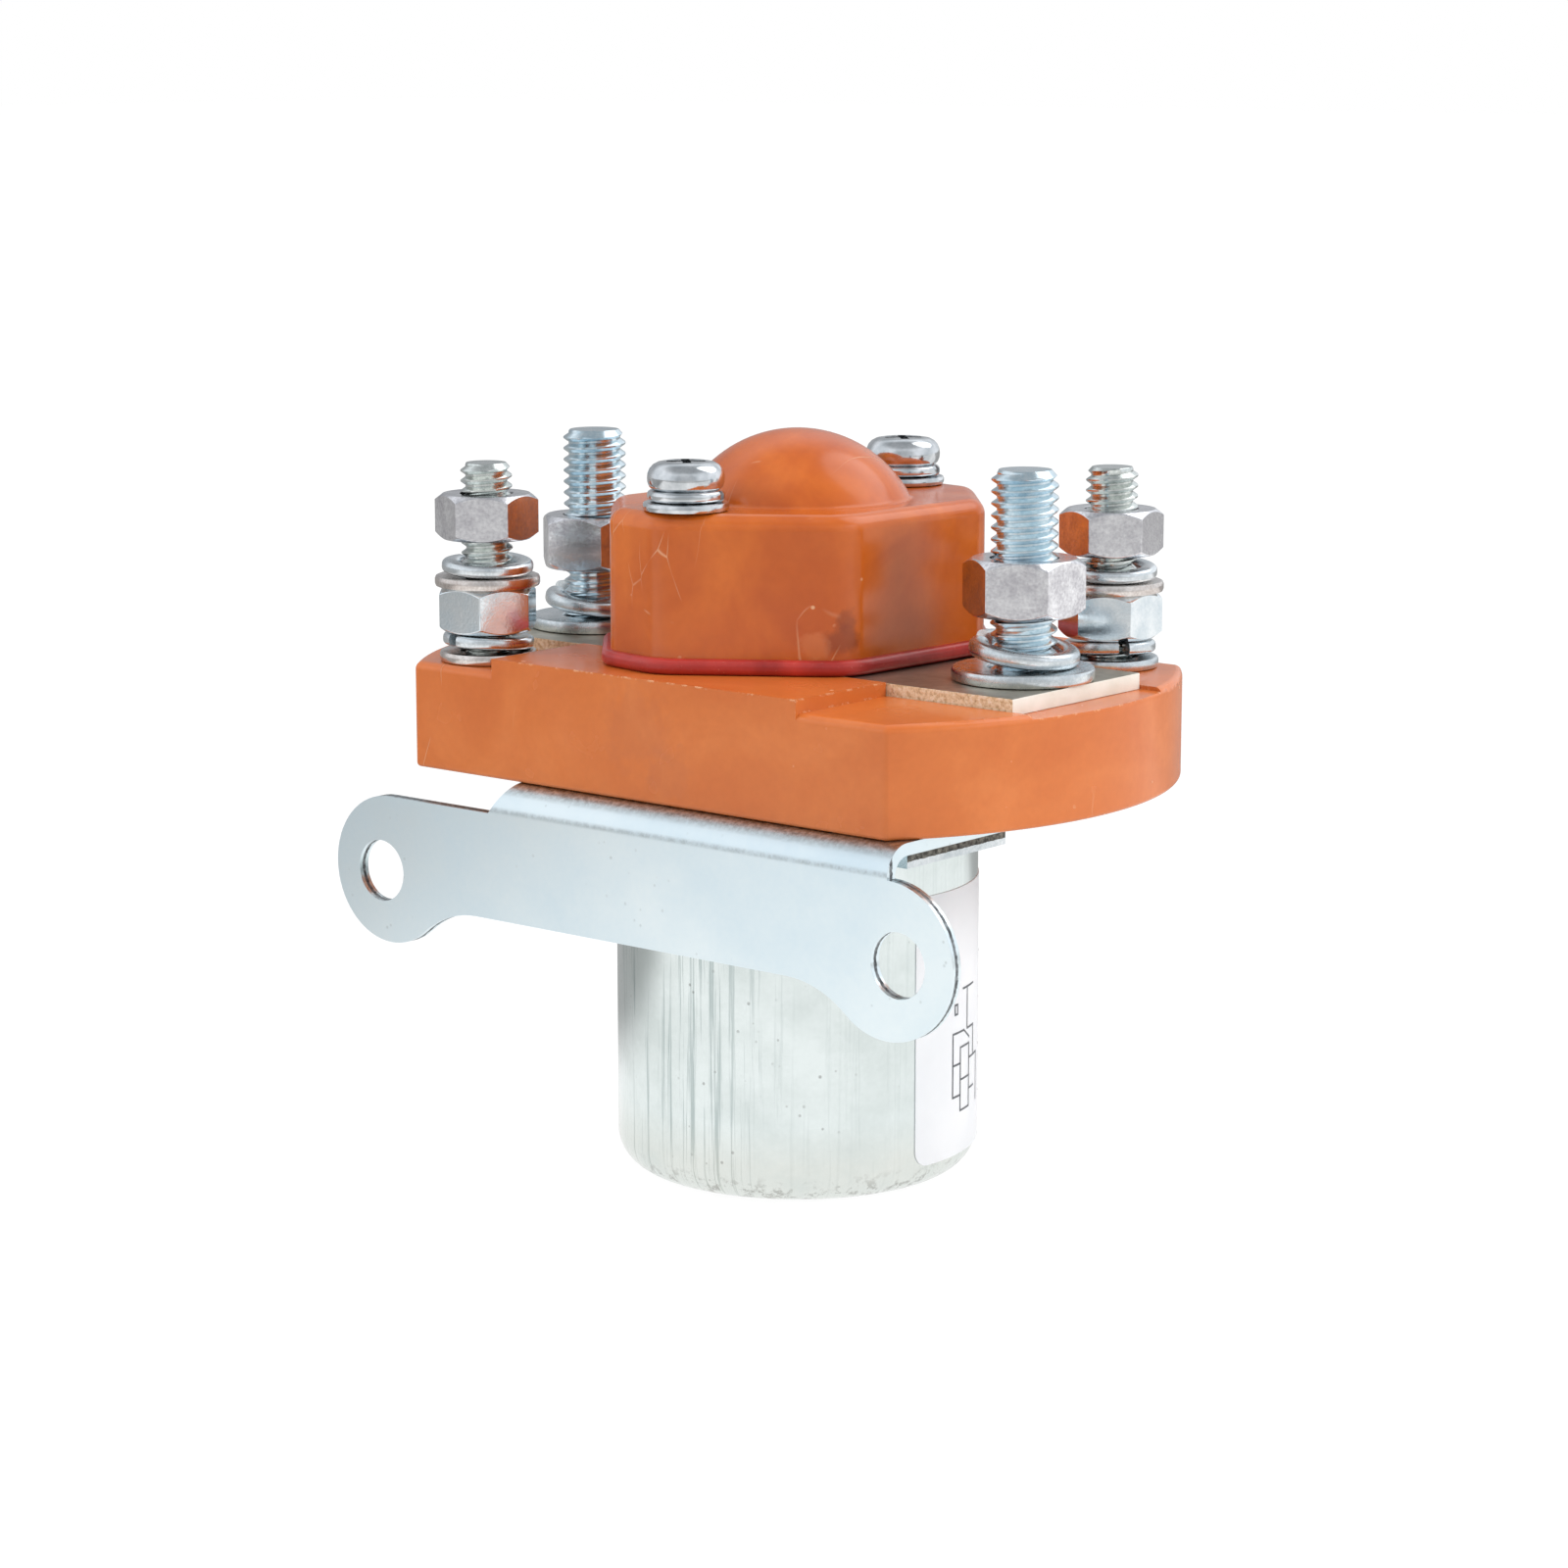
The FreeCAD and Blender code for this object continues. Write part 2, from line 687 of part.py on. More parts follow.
def make_yoke_screw(side):
    y = side * yoke_screw_place
    top = cavity_floor + yoke_screw_head_height
    head = cylinder(yoke_screw_head_radius, cavity_floor, top, 0, y)
    shank = cylinder(yoke_screw_radius, yoke_bottom, cavity_floor, 0, y)
    slot = block(-yoke_screw_head_radius - cut_through, yoke_screw_head_radius + cut_through,
                 y - yoke_screw_slot_width / 2, y + yoke_screw_slot_width / 2,
                 top - yoke_screw_slot_depth, top + cut_through)
    return head.fuse(shank).removeSplitter().cut(slot)


def make_bridge():
    bar = block(-bridge_half_length, bridge_half_length, -bridge_half_width, bridge_half_width,
                bridge_bottom, bridge_top)
    return bar.cut(cylinder(bush_sleeve_radius + bridge_bore_gap, bridge_bottom - cut_through,
                            bridge_top + cut_through))


def make_bush():
    flange = cylinder(bush_flange_radius, bridge_bottom - bush_flange_thickness, bridge_bottom)
    sleeve = cylinder(bush_sleeve_radius, bridge_bottom, bridge_bottom + bush_sleeve_height)
    bore = cylinder(rod_radius, bridge_bottom - bush_flange_thickness - cut_through,
                    bridge_bottom + bush_sleeve_height + cut_through)
    return flange.fuse(sleeve).removeSplitter().cut(bore)


def make_clip():
    clip = ring(clip_radius, rod_radius - clip_groove_depth, clip_bottom, clip_bottom + clip_thickness)
    mouth = block(0, clip_radius + cut_through, -clip_mouth / 2, clip_mouth / 2,
                  clip_bottom - cut_through, clip_bottom + clip_thickness + cut_through)
    return clip.cut(mouth)


def make_label():
    # a thin patch on the can's wall with rounded corners
    wrap = ring(can_radius + label_thickness, can_radius, label_bottom, label_top)
    wedge = Part.makeCylinder(can_radius + cut_through, label_top - label_bottom,
                              at(0, 0, label_bottom), at(0, 0, 1), label_sweep)
    patch = wrap.common(turned(wedge, label_start))
    corners = [e for e in patch.Edges if e.Length < 2 * label_thickness]
    return patch.makeFillet(label_corner_radius, corners)


def power_stack(name, side):
    # one power stud and what is on it, from the plate up
    x = side * power_places[name]
    spring_low = plate_top + power_flat_thickness
    nut_low = spring_low + power_nut_lift
    nuts = [(nut_low, nut_low + power_nut_height)]
    return {
        "power_stud": stud(power_radius, power_pitch_radius, power_head_radius, power_head_height,
                           power_tops[name], x, 0, nuts),
        "power_flat_washer": ring(power_flat_radius, power_radius + washer_bore_gap, plate_top,
                                  spring_low, x, 0),
        "power_spring_washer": spring_washer(power_spring_radius, power_radius + spring_bore_gap,
                                             power_spring_thickness, power_spring_tilt, spring_low,
                                             x, 0, power_spring_turn),
        "power_nut": nut(power_nut_flats, power_nut_height, power_pitch_radius, nut_low, x, 0,
                         power_nut_turns[name]),
    }


def coil_stack(name, x, y, lift):
    # one coil stud and what is on it, from the base up
    bore = coil_radius + washer_bore_gap
    lean = 2 * coil_spring_radius * math.sin(math.radians(coil_spring_tilt))
    spring_low = base_low + coil_flat_thickness
    nut_low = spring_low + coil_spring_thickness + lean
    upper_flat_low = nut_low + coil_nut_height
    upper_spring_low = upper_flat_low + coil_flat_thickness
    upper_nut_low = upper_spring_low + coil_spring_thickness + lift
    nuts = [(nut_low, upper_flat_low), (upper_nut_low, upper_nut_low + coil_nut_height)]
    return {
        "coil_stud": stud(coil_radius, coil_pitch_radius, coil_head_radius, coil_head_height, coil_top,
                          x, y, nuts),
        "coil_flat_washer_lower": ring(coil_flat_radius, bore, base_low, spring_low, x, y),
        "coil_spring_washer_lower": spring_washer(coil_spring_radius, bore, coil_spring_thickness,
                                                  coil_spring_tilt, spring_low, x, y,
                                                  coil_spring_turns[name][0]),
        "coil_nut_lower": nut(coil_nut_flats, coil_nut_height, coil_pitch_radius, nut_low, x, y,
                              coil_nut_turns[name][0]),
        "coil_flat_washer_upper": ring(coil_upper_flat_radius, bore, upper_flat_low, upper_spring_low,
                                       x, y),
        "coil_spring_washer_upper": spring_washer(coil_spring_radius, bore, coil_spring_thickness,
                                                  coil_spring_tilt, upper_spring_low, x, y,
                                                  coil_spring_turns[name][1]),
        "coil_nut_upper": nut(coil_nut_flats, coil_nut_height, coil_pitch_radius, upper_nut_low, x, y,
                              coil_nut_turns[name][1]),
    }


def make_parts():
    parts = {
        "can": make_can(),
        "yoke_plate": make_yoke(),
        "pole_plate": make_pole_plate(),
        "fixed_core": make_core(),
        "bobbin": make_bobbin(),
        "winding": ring(winding_outer, winding_inner, core_bottom + bobbin_flange,
                        yoke_bottom - bobbin_flange),
        "winding_wrap": ring(winding_outer + wrap_thickness, winding_outer, core_bottom + bobbin_flange,
                             yoke_bottom - bobbin_flange),
        "bracket": make_bracket(),
        "base": make_base(),
        "cover": make_cover(),
        "cover_gasket": make_gasket(),
        "label": make_label(),
        "stop_washer": make_stop_washer(),
        "plunger": make_plunger(),
        "push_rod": make_rod(),
        "return_spring": spring(return_spring_radius, return_wire_radius, return_spring_turns,
                                core_top - core_pocket_depth, plunger_bottom + plunger_pocket_depth),
        "contact_bridge": make_bridge(),
        "insulating_bush": make_bush(),
        "insulating_washer": ring(insulator_radius, bush_sleeve_radius + bridge_bore_gap, bridge_top,
                                  bridge_top + insulator_thickness),
        "contact_spring": spring(contact_spring_radius, contact_wire_radius, contact_spring_turns,
                                 bridge_top + insulator_thickness, cap_bottom),
        "spring_cap": ring(cap_radius, rod_radius, cap_bottom, clip_bottom),
        "retaining_clip": make_clip(),
    }
    for turn, name in ((180, "left"), (0, "right")):
        parts["coil_lead_" + name] = make_lead(turn)
    for name, side in SIDES:
        parts["terminal_plate_" + name] = make_terminal_plate(name, side)
        parts["fixed_contact_" + name] = cylinder(tip_radius, plate_top, plate_top + tip_thickness,
                                                  side * tip_place, 0)
        parts["moving_contact_" + name] = cylinder(tip_radius, bridge_bottom - tip_thickness,
                                                   bridge_bottom, side * tip_place, 0)
        for piece, shape in power_stack(name, side).items():
            parts[piece + "_" + name] = shape
    for name, x, y, lift in coil_studs_at():
        for piece, shape in coil_stack(name, x, y, lift).items():
            parts[piece + "_" + name] = shape
    for name, x, y in cover_screws_at():
        flat_top = cover_top + screw_flat_thickness
        spring_top = flat_top + screw_spring_thickness
        bore = screw_radius + washer_bore_gap
        parts["cover_flat_washer_" + name] = ring(screw_flat_radius, bore, cover_top, flat_top, x, y)
        parts["cover_spring_washer_" + name] = spring_washer(screw_spring_radius, bore,
                                                             screw_spring_thickness, 0.0, flat_top,
                                                             x, y, screw_spring_turn)
        parts["cover_screw_" + name] = make_cover_screw(x, y, spring_top)
    for name, side in (("front", -1), ("rear", 1)):
        parts["yoke_screw_" + name] = make_yoke_screw(side)
    return parts


def save(parts):
    os.makedirs("parts", exist_ok=True)
    for name, shape in parts.items():
        shape.exportStep(os.path.join("parts", name + ".step"))
        print(name, len(shape.Solids), "solid", round(shape.Volume, 1), "mm3", shape.isValid())


save(make_parts())
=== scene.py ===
import math

import bmesh
import bpy
from mathutils import Matrix, Vector


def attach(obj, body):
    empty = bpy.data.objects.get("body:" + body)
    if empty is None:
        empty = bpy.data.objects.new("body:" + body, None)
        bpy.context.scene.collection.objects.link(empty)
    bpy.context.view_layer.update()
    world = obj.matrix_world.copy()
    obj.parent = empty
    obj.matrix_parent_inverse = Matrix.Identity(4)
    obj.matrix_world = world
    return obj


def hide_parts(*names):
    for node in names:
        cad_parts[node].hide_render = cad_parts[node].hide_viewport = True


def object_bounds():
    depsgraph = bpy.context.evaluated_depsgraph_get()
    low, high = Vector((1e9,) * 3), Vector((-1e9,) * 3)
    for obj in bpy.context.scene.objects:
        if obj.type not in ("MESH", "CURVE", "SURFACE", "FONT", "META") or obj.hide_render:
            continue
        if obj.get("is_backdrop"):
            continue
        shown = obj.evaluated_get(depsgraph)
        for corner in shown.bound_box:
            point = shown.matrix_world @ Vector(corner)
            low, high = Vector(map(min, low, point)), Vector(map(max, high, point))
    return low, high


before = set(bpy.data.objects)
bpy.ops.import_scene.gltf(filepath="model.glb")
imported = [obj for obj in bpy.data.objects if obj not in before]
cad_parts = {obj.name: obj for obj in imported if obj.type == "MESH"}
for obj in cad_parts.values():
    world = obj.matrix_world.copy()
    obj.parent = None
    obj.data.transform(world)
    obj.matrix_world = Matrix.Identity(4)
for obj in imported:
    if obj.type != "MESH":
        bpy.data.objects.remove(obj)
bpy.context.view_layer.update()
print("frame loaded, nodes:", len(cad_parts))

mm = 0.001


# Small helpers

def perMm(sizeMm):
    # a texture scale that makes one cell this many millimetres wide
    return 1000.0 / sizeMm


def hexToLinear(text):
    channels = [int(text[i:i + 2], 16) / 255 for i in (1, 3, 5)]
    return [c / 12.92 if c <= 0.04045 else ((c + 0.055) / 1.055) ** 2.4 for c in channels] + [1.0]


def addNode(tree, kind, values=None, links=None, stops=None, **settings):
    # one shader node with its settings, its socket values, the links that come into it and, on a ramp, its
    # stops as pairs of position and colour; a colour is given as hex
    node = tree.nodes.new("ShaderNode" + kind)
    for name, value in settings.items():
        setattr(node, name, value)
    for socket, value in (values or {}).items():
        node.inputs[socket].default_value = hexToLinear(value) if isinstance(value, str) else value
    for socket, (source, output) in (links or {}).items():
        tree.links.new(source.outputs[output], node.inputs[socket])
    if stops:
        while len(node.color_ramp.elements) < len(stops):
            node.color_ramp.elements.new(0.5)
        for element, (position, colour) in zip(node.color_ramp.elements, stops):
            element.position, element.color = position, hexToLinear(colour)
    return node


def levels(fromMin, fromMax, toMin, toMax):
    # the four values of a Map Range node
    return {"From Min": fromMin, "From Max": fromMax, "To Min": toMin, "To Max": toMax}


def newMaterial(name):
    material = bpy.data.materials.new(name)
    material.use_nodes = True
    tree = material.node_tree
    tree.nodes.clear()
    output = addNode(tree, "OutputMaterial")
    shader = addNode(tree, "BsdfPrincipled")
    tree.links.new(shader.outputs["BSDF"], output.inputs["Surface"])
    place = addNode(tree, "TexCoord")
    return material, tree, shader, place


def spanMm(node):
    # a CAD node's two corners, in millimetres
    points = [vertex.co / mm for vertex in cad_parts[node].data.vertices]
    return (Vector([min(p[k] for p in points) for k in range(3)]),
            Vector([max(p[k] for p in points) for k in range(3)]))


def meshObject(name, bm, material, node, sharpDegrees=32, weighted=True):
    # closes one piece: shading, material, its node and its body; all of them are on the housing
    for face in bm.faces:
        face.smooth = True
    for edge in bm.edges:
        edge.smooth = not (len(edge.link_faces) == 2
                           and edge.calc_face_angle(0) > math.radians(sharpDegrees))
    mesh = bpy.data.meshes.new(name)
    bm.to_mesh(mesh)
    bm.free()
    piece = bpy.data.objects.new(name, mesh)
    bpy.context.scene.collection.objects.link(piece)
    mesh.materials.append(material)
    if weighted:
        shade = piece.modifiers.new("evenShading", "WEIGHTED_NORMAL")
        shade.keep_sharp = True
    if node:
        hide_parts(node)
    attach(piece, "housing")
    return piece


def mergedCopy(node):
    # a copy of a CAD node's mesh with its loose triangles joined and its flat faces whole
    bm = bmesh.new()
    bm.from_mesh(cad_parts[node].data)
    bmesh.ops.remove_doubles(bm, verts=bm.verts, dist=0.002 * mm)
    bmesh.ops.dissolve_degenerate(bm, edges=bm.edges, dist=0.002 * mm)
    bmesh.ops.dissolve_limit(bm, angle_limit=math.radians(0.4), verts=bm.verts, edges=bm.edges,
                             use_dissolve_boundaries=False, delimit=set())
    return bm


def softenEdges(bm, widthMm, overDegrees=28, segments=2):
    edges = [e for e in bm.edges
             if len(e.link_faces) == 2 and e.calc_face_angle(0) > math.radians(overDegrees)]
    bmesh.ops.bevel(bm, geom=edges, offset=widthMm * mm, offset_type="OFFSET", affect="EDGES",
                    segments=segments, profile=0.5, material=-1, clamp_overlap=True)


def turnAbout(bm, verts, degrees, axis):
    bmesh.ops.rotate(bm, cent=(0, 0, 0), matrix=Matrix.Rotation(math.radians(degrees), 3, axis), verts=verts)


def dressNode(node, name, material, edgeMm=0.0):
    bm = mergedCopy(node)
    if edgeMm:
        softenEdges(bm, edgeMm)
    return meshObject(name, bm, material, node)


# Camera, lamps, floor and world

cameraSpec = {"azimuth": 39.74, "elevation": 10.59, "distanceMm": 497.9,
              "aimMm": (-1.28, -1.06, 47.97), "lensMm": 92.11}


def makeCamera(spec):
    turn, rise = math.radians(spec["azimuth"]), math.radians(spec["elevation"])
    back = Vector((math.sin(turn) * math.cos(rise), -math.cos(turn) * math.cos(rise), math.sin(rise)))
    data = bpy.data.cameras.new("photoCamera")
    data.lens = spec["lensMm"]
    data.sensor_width = 36
    data.clip_start, data.clip_end = 0.02, 20
    camera = bpy.data.objects.new("photoCamera", data)
    bpy.context.scene.collection.objects.link(camera)
    camera.location = Vector(spec["aimMm"]) * mm + back * spec["distanceMm"] * mm
    camera.rotation_mode = "QUATERNION"
    camera.rotation_quaternion = (-back).to_track_quat("-Z", "Y")
    bpy.context.scene.camera = camera


lampSpecs = {
    # soft boxes: place and aim in metres, width in metres, power in watts, and whether gloss shows them
    "softboxTop": {"place": (-0.1, -0.2, 1.0), "aim": (0, 0, 0.05), "size": 0.6, "power": 2.8, "seen": False},
    "softboxBack": {"place": (0.31, 0.63, 0.9), "aim": (0, 0, 0.07), "size": 0.9, "power": 2.6, "seen": True},
    "softboxLeft": {"place": (-0.75, -0.65, 0.55), "aim": (0, 0, 0.06), "size": 0.45, "power": 3.3,
                    "seen": False},
    "softboxRight": {"place": (0.9, 0.2, 0.62), "aim": (0, 0, 0.06), "size": 0.45, "power": 5.2,
                     "seen": False},
}


def makeLamps(specs):
    for name, spec in specs.items():
        data = bpy.data.lights.new(name, "AREA")
        data.shape = "DISK"
        data.size = spec["size"]
        data.energy = spec["power"]
        lamp = bpy.data.objects.new(name, data)
        bpy.context.scene.collection.objects.link(lamp)
        lamp.location = spec["place"]
        lamp.rotation_mode = "QUATERNION"
        lamp.rotation_quaternion = (Vector(spec["aim"]) - Vector(spec["place"])).to_track_quat("-Z", "Y")
        lamp.visible_glossy = spec["seen"]


# where the white cloth ends and the unlit room shows in metal: a direction, how dark it gets, the cosines
# between which it darkens, and how far off, in metres, the cloth ends that way
darkSides = {
    "photographer": {"toward": (0.62, -0.75, 0.12), "level": 0.6, "wide": 0.7, "narrow": 0.97,
                     "clothEnd": (0.3, 0.46)},
    "leftBehind": {"toward": (-0.88, 0.42, 0.0), "level": 0.42, "wide": 0.62, "narrow": 0.92,
                   "clothEnd": (0.04, 0.09)},
    "ceiling": {"toward": (0.1, -0.1, 0.99), "level": 0.48, "wide": 0.6, "narrow": 0.92,
                "clothEnd": (1.0, 2.0)},
}
worldSpec = {"fill": 0.66, "tint": "#F6FAFF"}


def darkerToward(tree, place, output, ranges):
    # one level for each dark side, and the lowest of them
    lowest = None
    for side, (start, end) in zip(darkSides.values(), ranges):
        toward = addNode(tree, "VectorMath", {1: side["toward"]}, {0: (place, output)},
                         operation="DOT_PRODUCT")
        level = addNode(tree, "MapRange", levels(start, end, 1.0, side["level"]),
                        {"Value": (toward, "Value")}, interpolation_type="SMOOTHSTEP")
        if lowest:
            lowest = addNode(tree, "Math", {}, {0: lowest, 1: (level, "Result")}, operation="MINIMUM"), 0
        else:
            lowest = level, "Result"
    return lowest


def makeWorld(spec):
    # white where the camera looks; metal sees the same white, darker toward the dark sides
    world = bpy.data.worlds.new("whiteStudio")
    bpy.context.scene.world = world
    world.use_nodes = True
    tree = world.node_tree
    tree.nodes.clear()
    path = addNode(tree, "LightPath")
    place = addNode(tree, "TexCoord")
    edges = [(side["wide"], side["narrow"]) for side in darkSides.values()]
    level = darkerToward(tree, place, "Generated", edges)
    white = addNode(tree, "Background", {"Color": (1, 1, 1, 1), "Strength": 1.0})
    mirrored = addNode(tree, "Background", {"Color": spec["tint"]}, {"Strength": level})
    fill = addNode(tree, "Background", {"Color": (1, 1, 1, 1), "Strength": spec["fill"]})
    seen = addNode(tree, "Math", {}, {0: (path, "Is Glossy Ray"), 1: (path, "Is Transmission Ray")},
                   operation="MAXIMUM")
    inMetal = addNode(tree, "MixShader", {}, {"Fac": (seen, 0), 1: (fill, 0), 2: (mirrored, 0)})
    whole = addNode(tree, "MixShader", {}, {"Fac": (path, "Is Camera Ray"), 1: (inMetal, 0), 2: (white, 0)})
    addNode(tree, "OutputWorld", links={"Surface": (whole, 0)})


floorSpec = {"reach": 6.0, "drop": 0.02, "colour": "#EDEFF0", "glow": 0.93, "shadowPart": 0.12}


def makeFloor(spec):
    # white cloth on a table: what the camera sees of it glows, so that it stays white, and metal sees where
    # it ends
    material, tree, shader, place = newMaterial("whiteTableCloth")
    path = addNode(tree, "LightPath")
    shader.inputs["Base Color"].default_value = hexToLinear(spec["colour"])
    shader.inputs["Roughness"].default_value = 0.9
    shader.inputs["Specular IOR Level"].default_value = 0.0
    fading = darkerToward(tree, place, "Object", [side["clothEnd"] for side in darkSides.values()])
    glow = addNode(tree, "Emission", {"Color": (1, 1, 1, 1), "Strength": spec["glow"]})
    mirrored = addNode(tree, "Emission", {"Color": (1, 1, 1, 1)}, {"Strength": fading})
    thin = addNode(tree, "BsdfDiffuse", {"Color": [spec["shadowPart"]] * 3 + [1]})
    bright = addNode(tree, "AddShader", links={0: (glow, 0), 1: (thin, 0)})
    seen = addNode(tree, "Math", {}, {0: (path, "Is Glossy Ray"), 1: (path, "Is Transmission Ray")},
                   operation="MAXIMUM")
    inMetal = addNode(tree, "MixShader", {}, {"Fac": (seen, 0), 1: (shader, 0), 2: (mirrored, 0)})
    mix = addNode(tree, "MixShader", {}, {"Fac": (path, "Is Camera Ray"), 1: (inMetal, 0), 2: (bright, 0)})
    output = next(n for n in tree.nodes if n.type == "OUTPUT_MATERIAL")
    tree.links.new(mix.outputs[0], output.inputs["Surface"])
    bm = bmesh.new()
    bmesh.ops.create_grid(bm, x_segments=1, y_segments=1, size=spec["reach"])
    bmesh.ops.translate(bm, vec=(0, 0, -spec["drop"] * mm), verts=bm.verts)
    mesh = bpy.data.meshes.new("table")
    bm.to_mesh(mesh)
    bm.free()
    table = bpy.data.objects.new("table", mesh)
    bpy.context.scene.collection.objects.link(table)
    mesh.materials.append(material)
    table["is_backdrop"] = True


bpy.context.scene.view_settings.view_transform = "Standard"
makeCamera(cameraSpec)
makeLamps(lampSpecs)
makeWorld(worldSpec)
makeFloor(floorSpec)
print("camera, lamps and floor placed")


# Materials; a colour mix takes its two colours at sockets 6 and 7 and gives the result at output 2

def edgeMask(tree, radiusMm):
    # where a rounded normal differs from the true one, which is along worn edges
    rounded = addNode(tree, "Bevel", {"Radius": radiusMm * mm}, samples=4)
    true = addNode(tree, "NewGeometry")
    same = addNode(tree, "VectorMath", {}, {0: (rounded, "Normal"), 1: (true, "Normal")},
                   operation="DOT_PRODUCT")
    return addNode(tree, "MapRange", levels(0.98, 0.8, 0.0, 1.0), {"Value": (same, "Value")})


phenolicSpec = {
    # cloud colours, roughness range, how rare chips and scratches are, where the pattern starts, the
    # refractive index, and the larger marks as place and width in millimetres with their colour and strength
    "baseMoulding": {"deep": "#C6672D", "middle": "#CC6E32", "light": "#D3763A", "roughness": (0.2, 0.28),
                     "chips": 0.54, "scratchGate": 0.66, "offset": (0.0, 0.0, 0.0), "index": 1.5,
                     "marks": [((-0.3, -29.4, 58.6), 6.0, "#A05C42", 0.16),
                               ((4.3, -29.4, 53.9), 4.0, "#A05C42", 0.14)]},
    "coverMoulding": {"deep": "#AC4C12", "middle": "#BC5A1A", "light": "#CB6820", "roughness": (0.15, 0.23),
                      "chips": 0.6, "scratchGate": 0.55, "offset": (0.21, 0.07, 0.4), "index": 1.55,
                      # the cover's two dark marks are painted shade where its front turns into its right side
                      "marks": [((17.7, -12.6, 68.8), 2.4, "#8C3F18", 0.75),
                                ((18.0, -12.2, 71.4), 1.8, "#8C3F18", 0.65),
                                ((14.6, -14.8, 68.0), 2.0, "#DB8C55", 0.35)]},
}


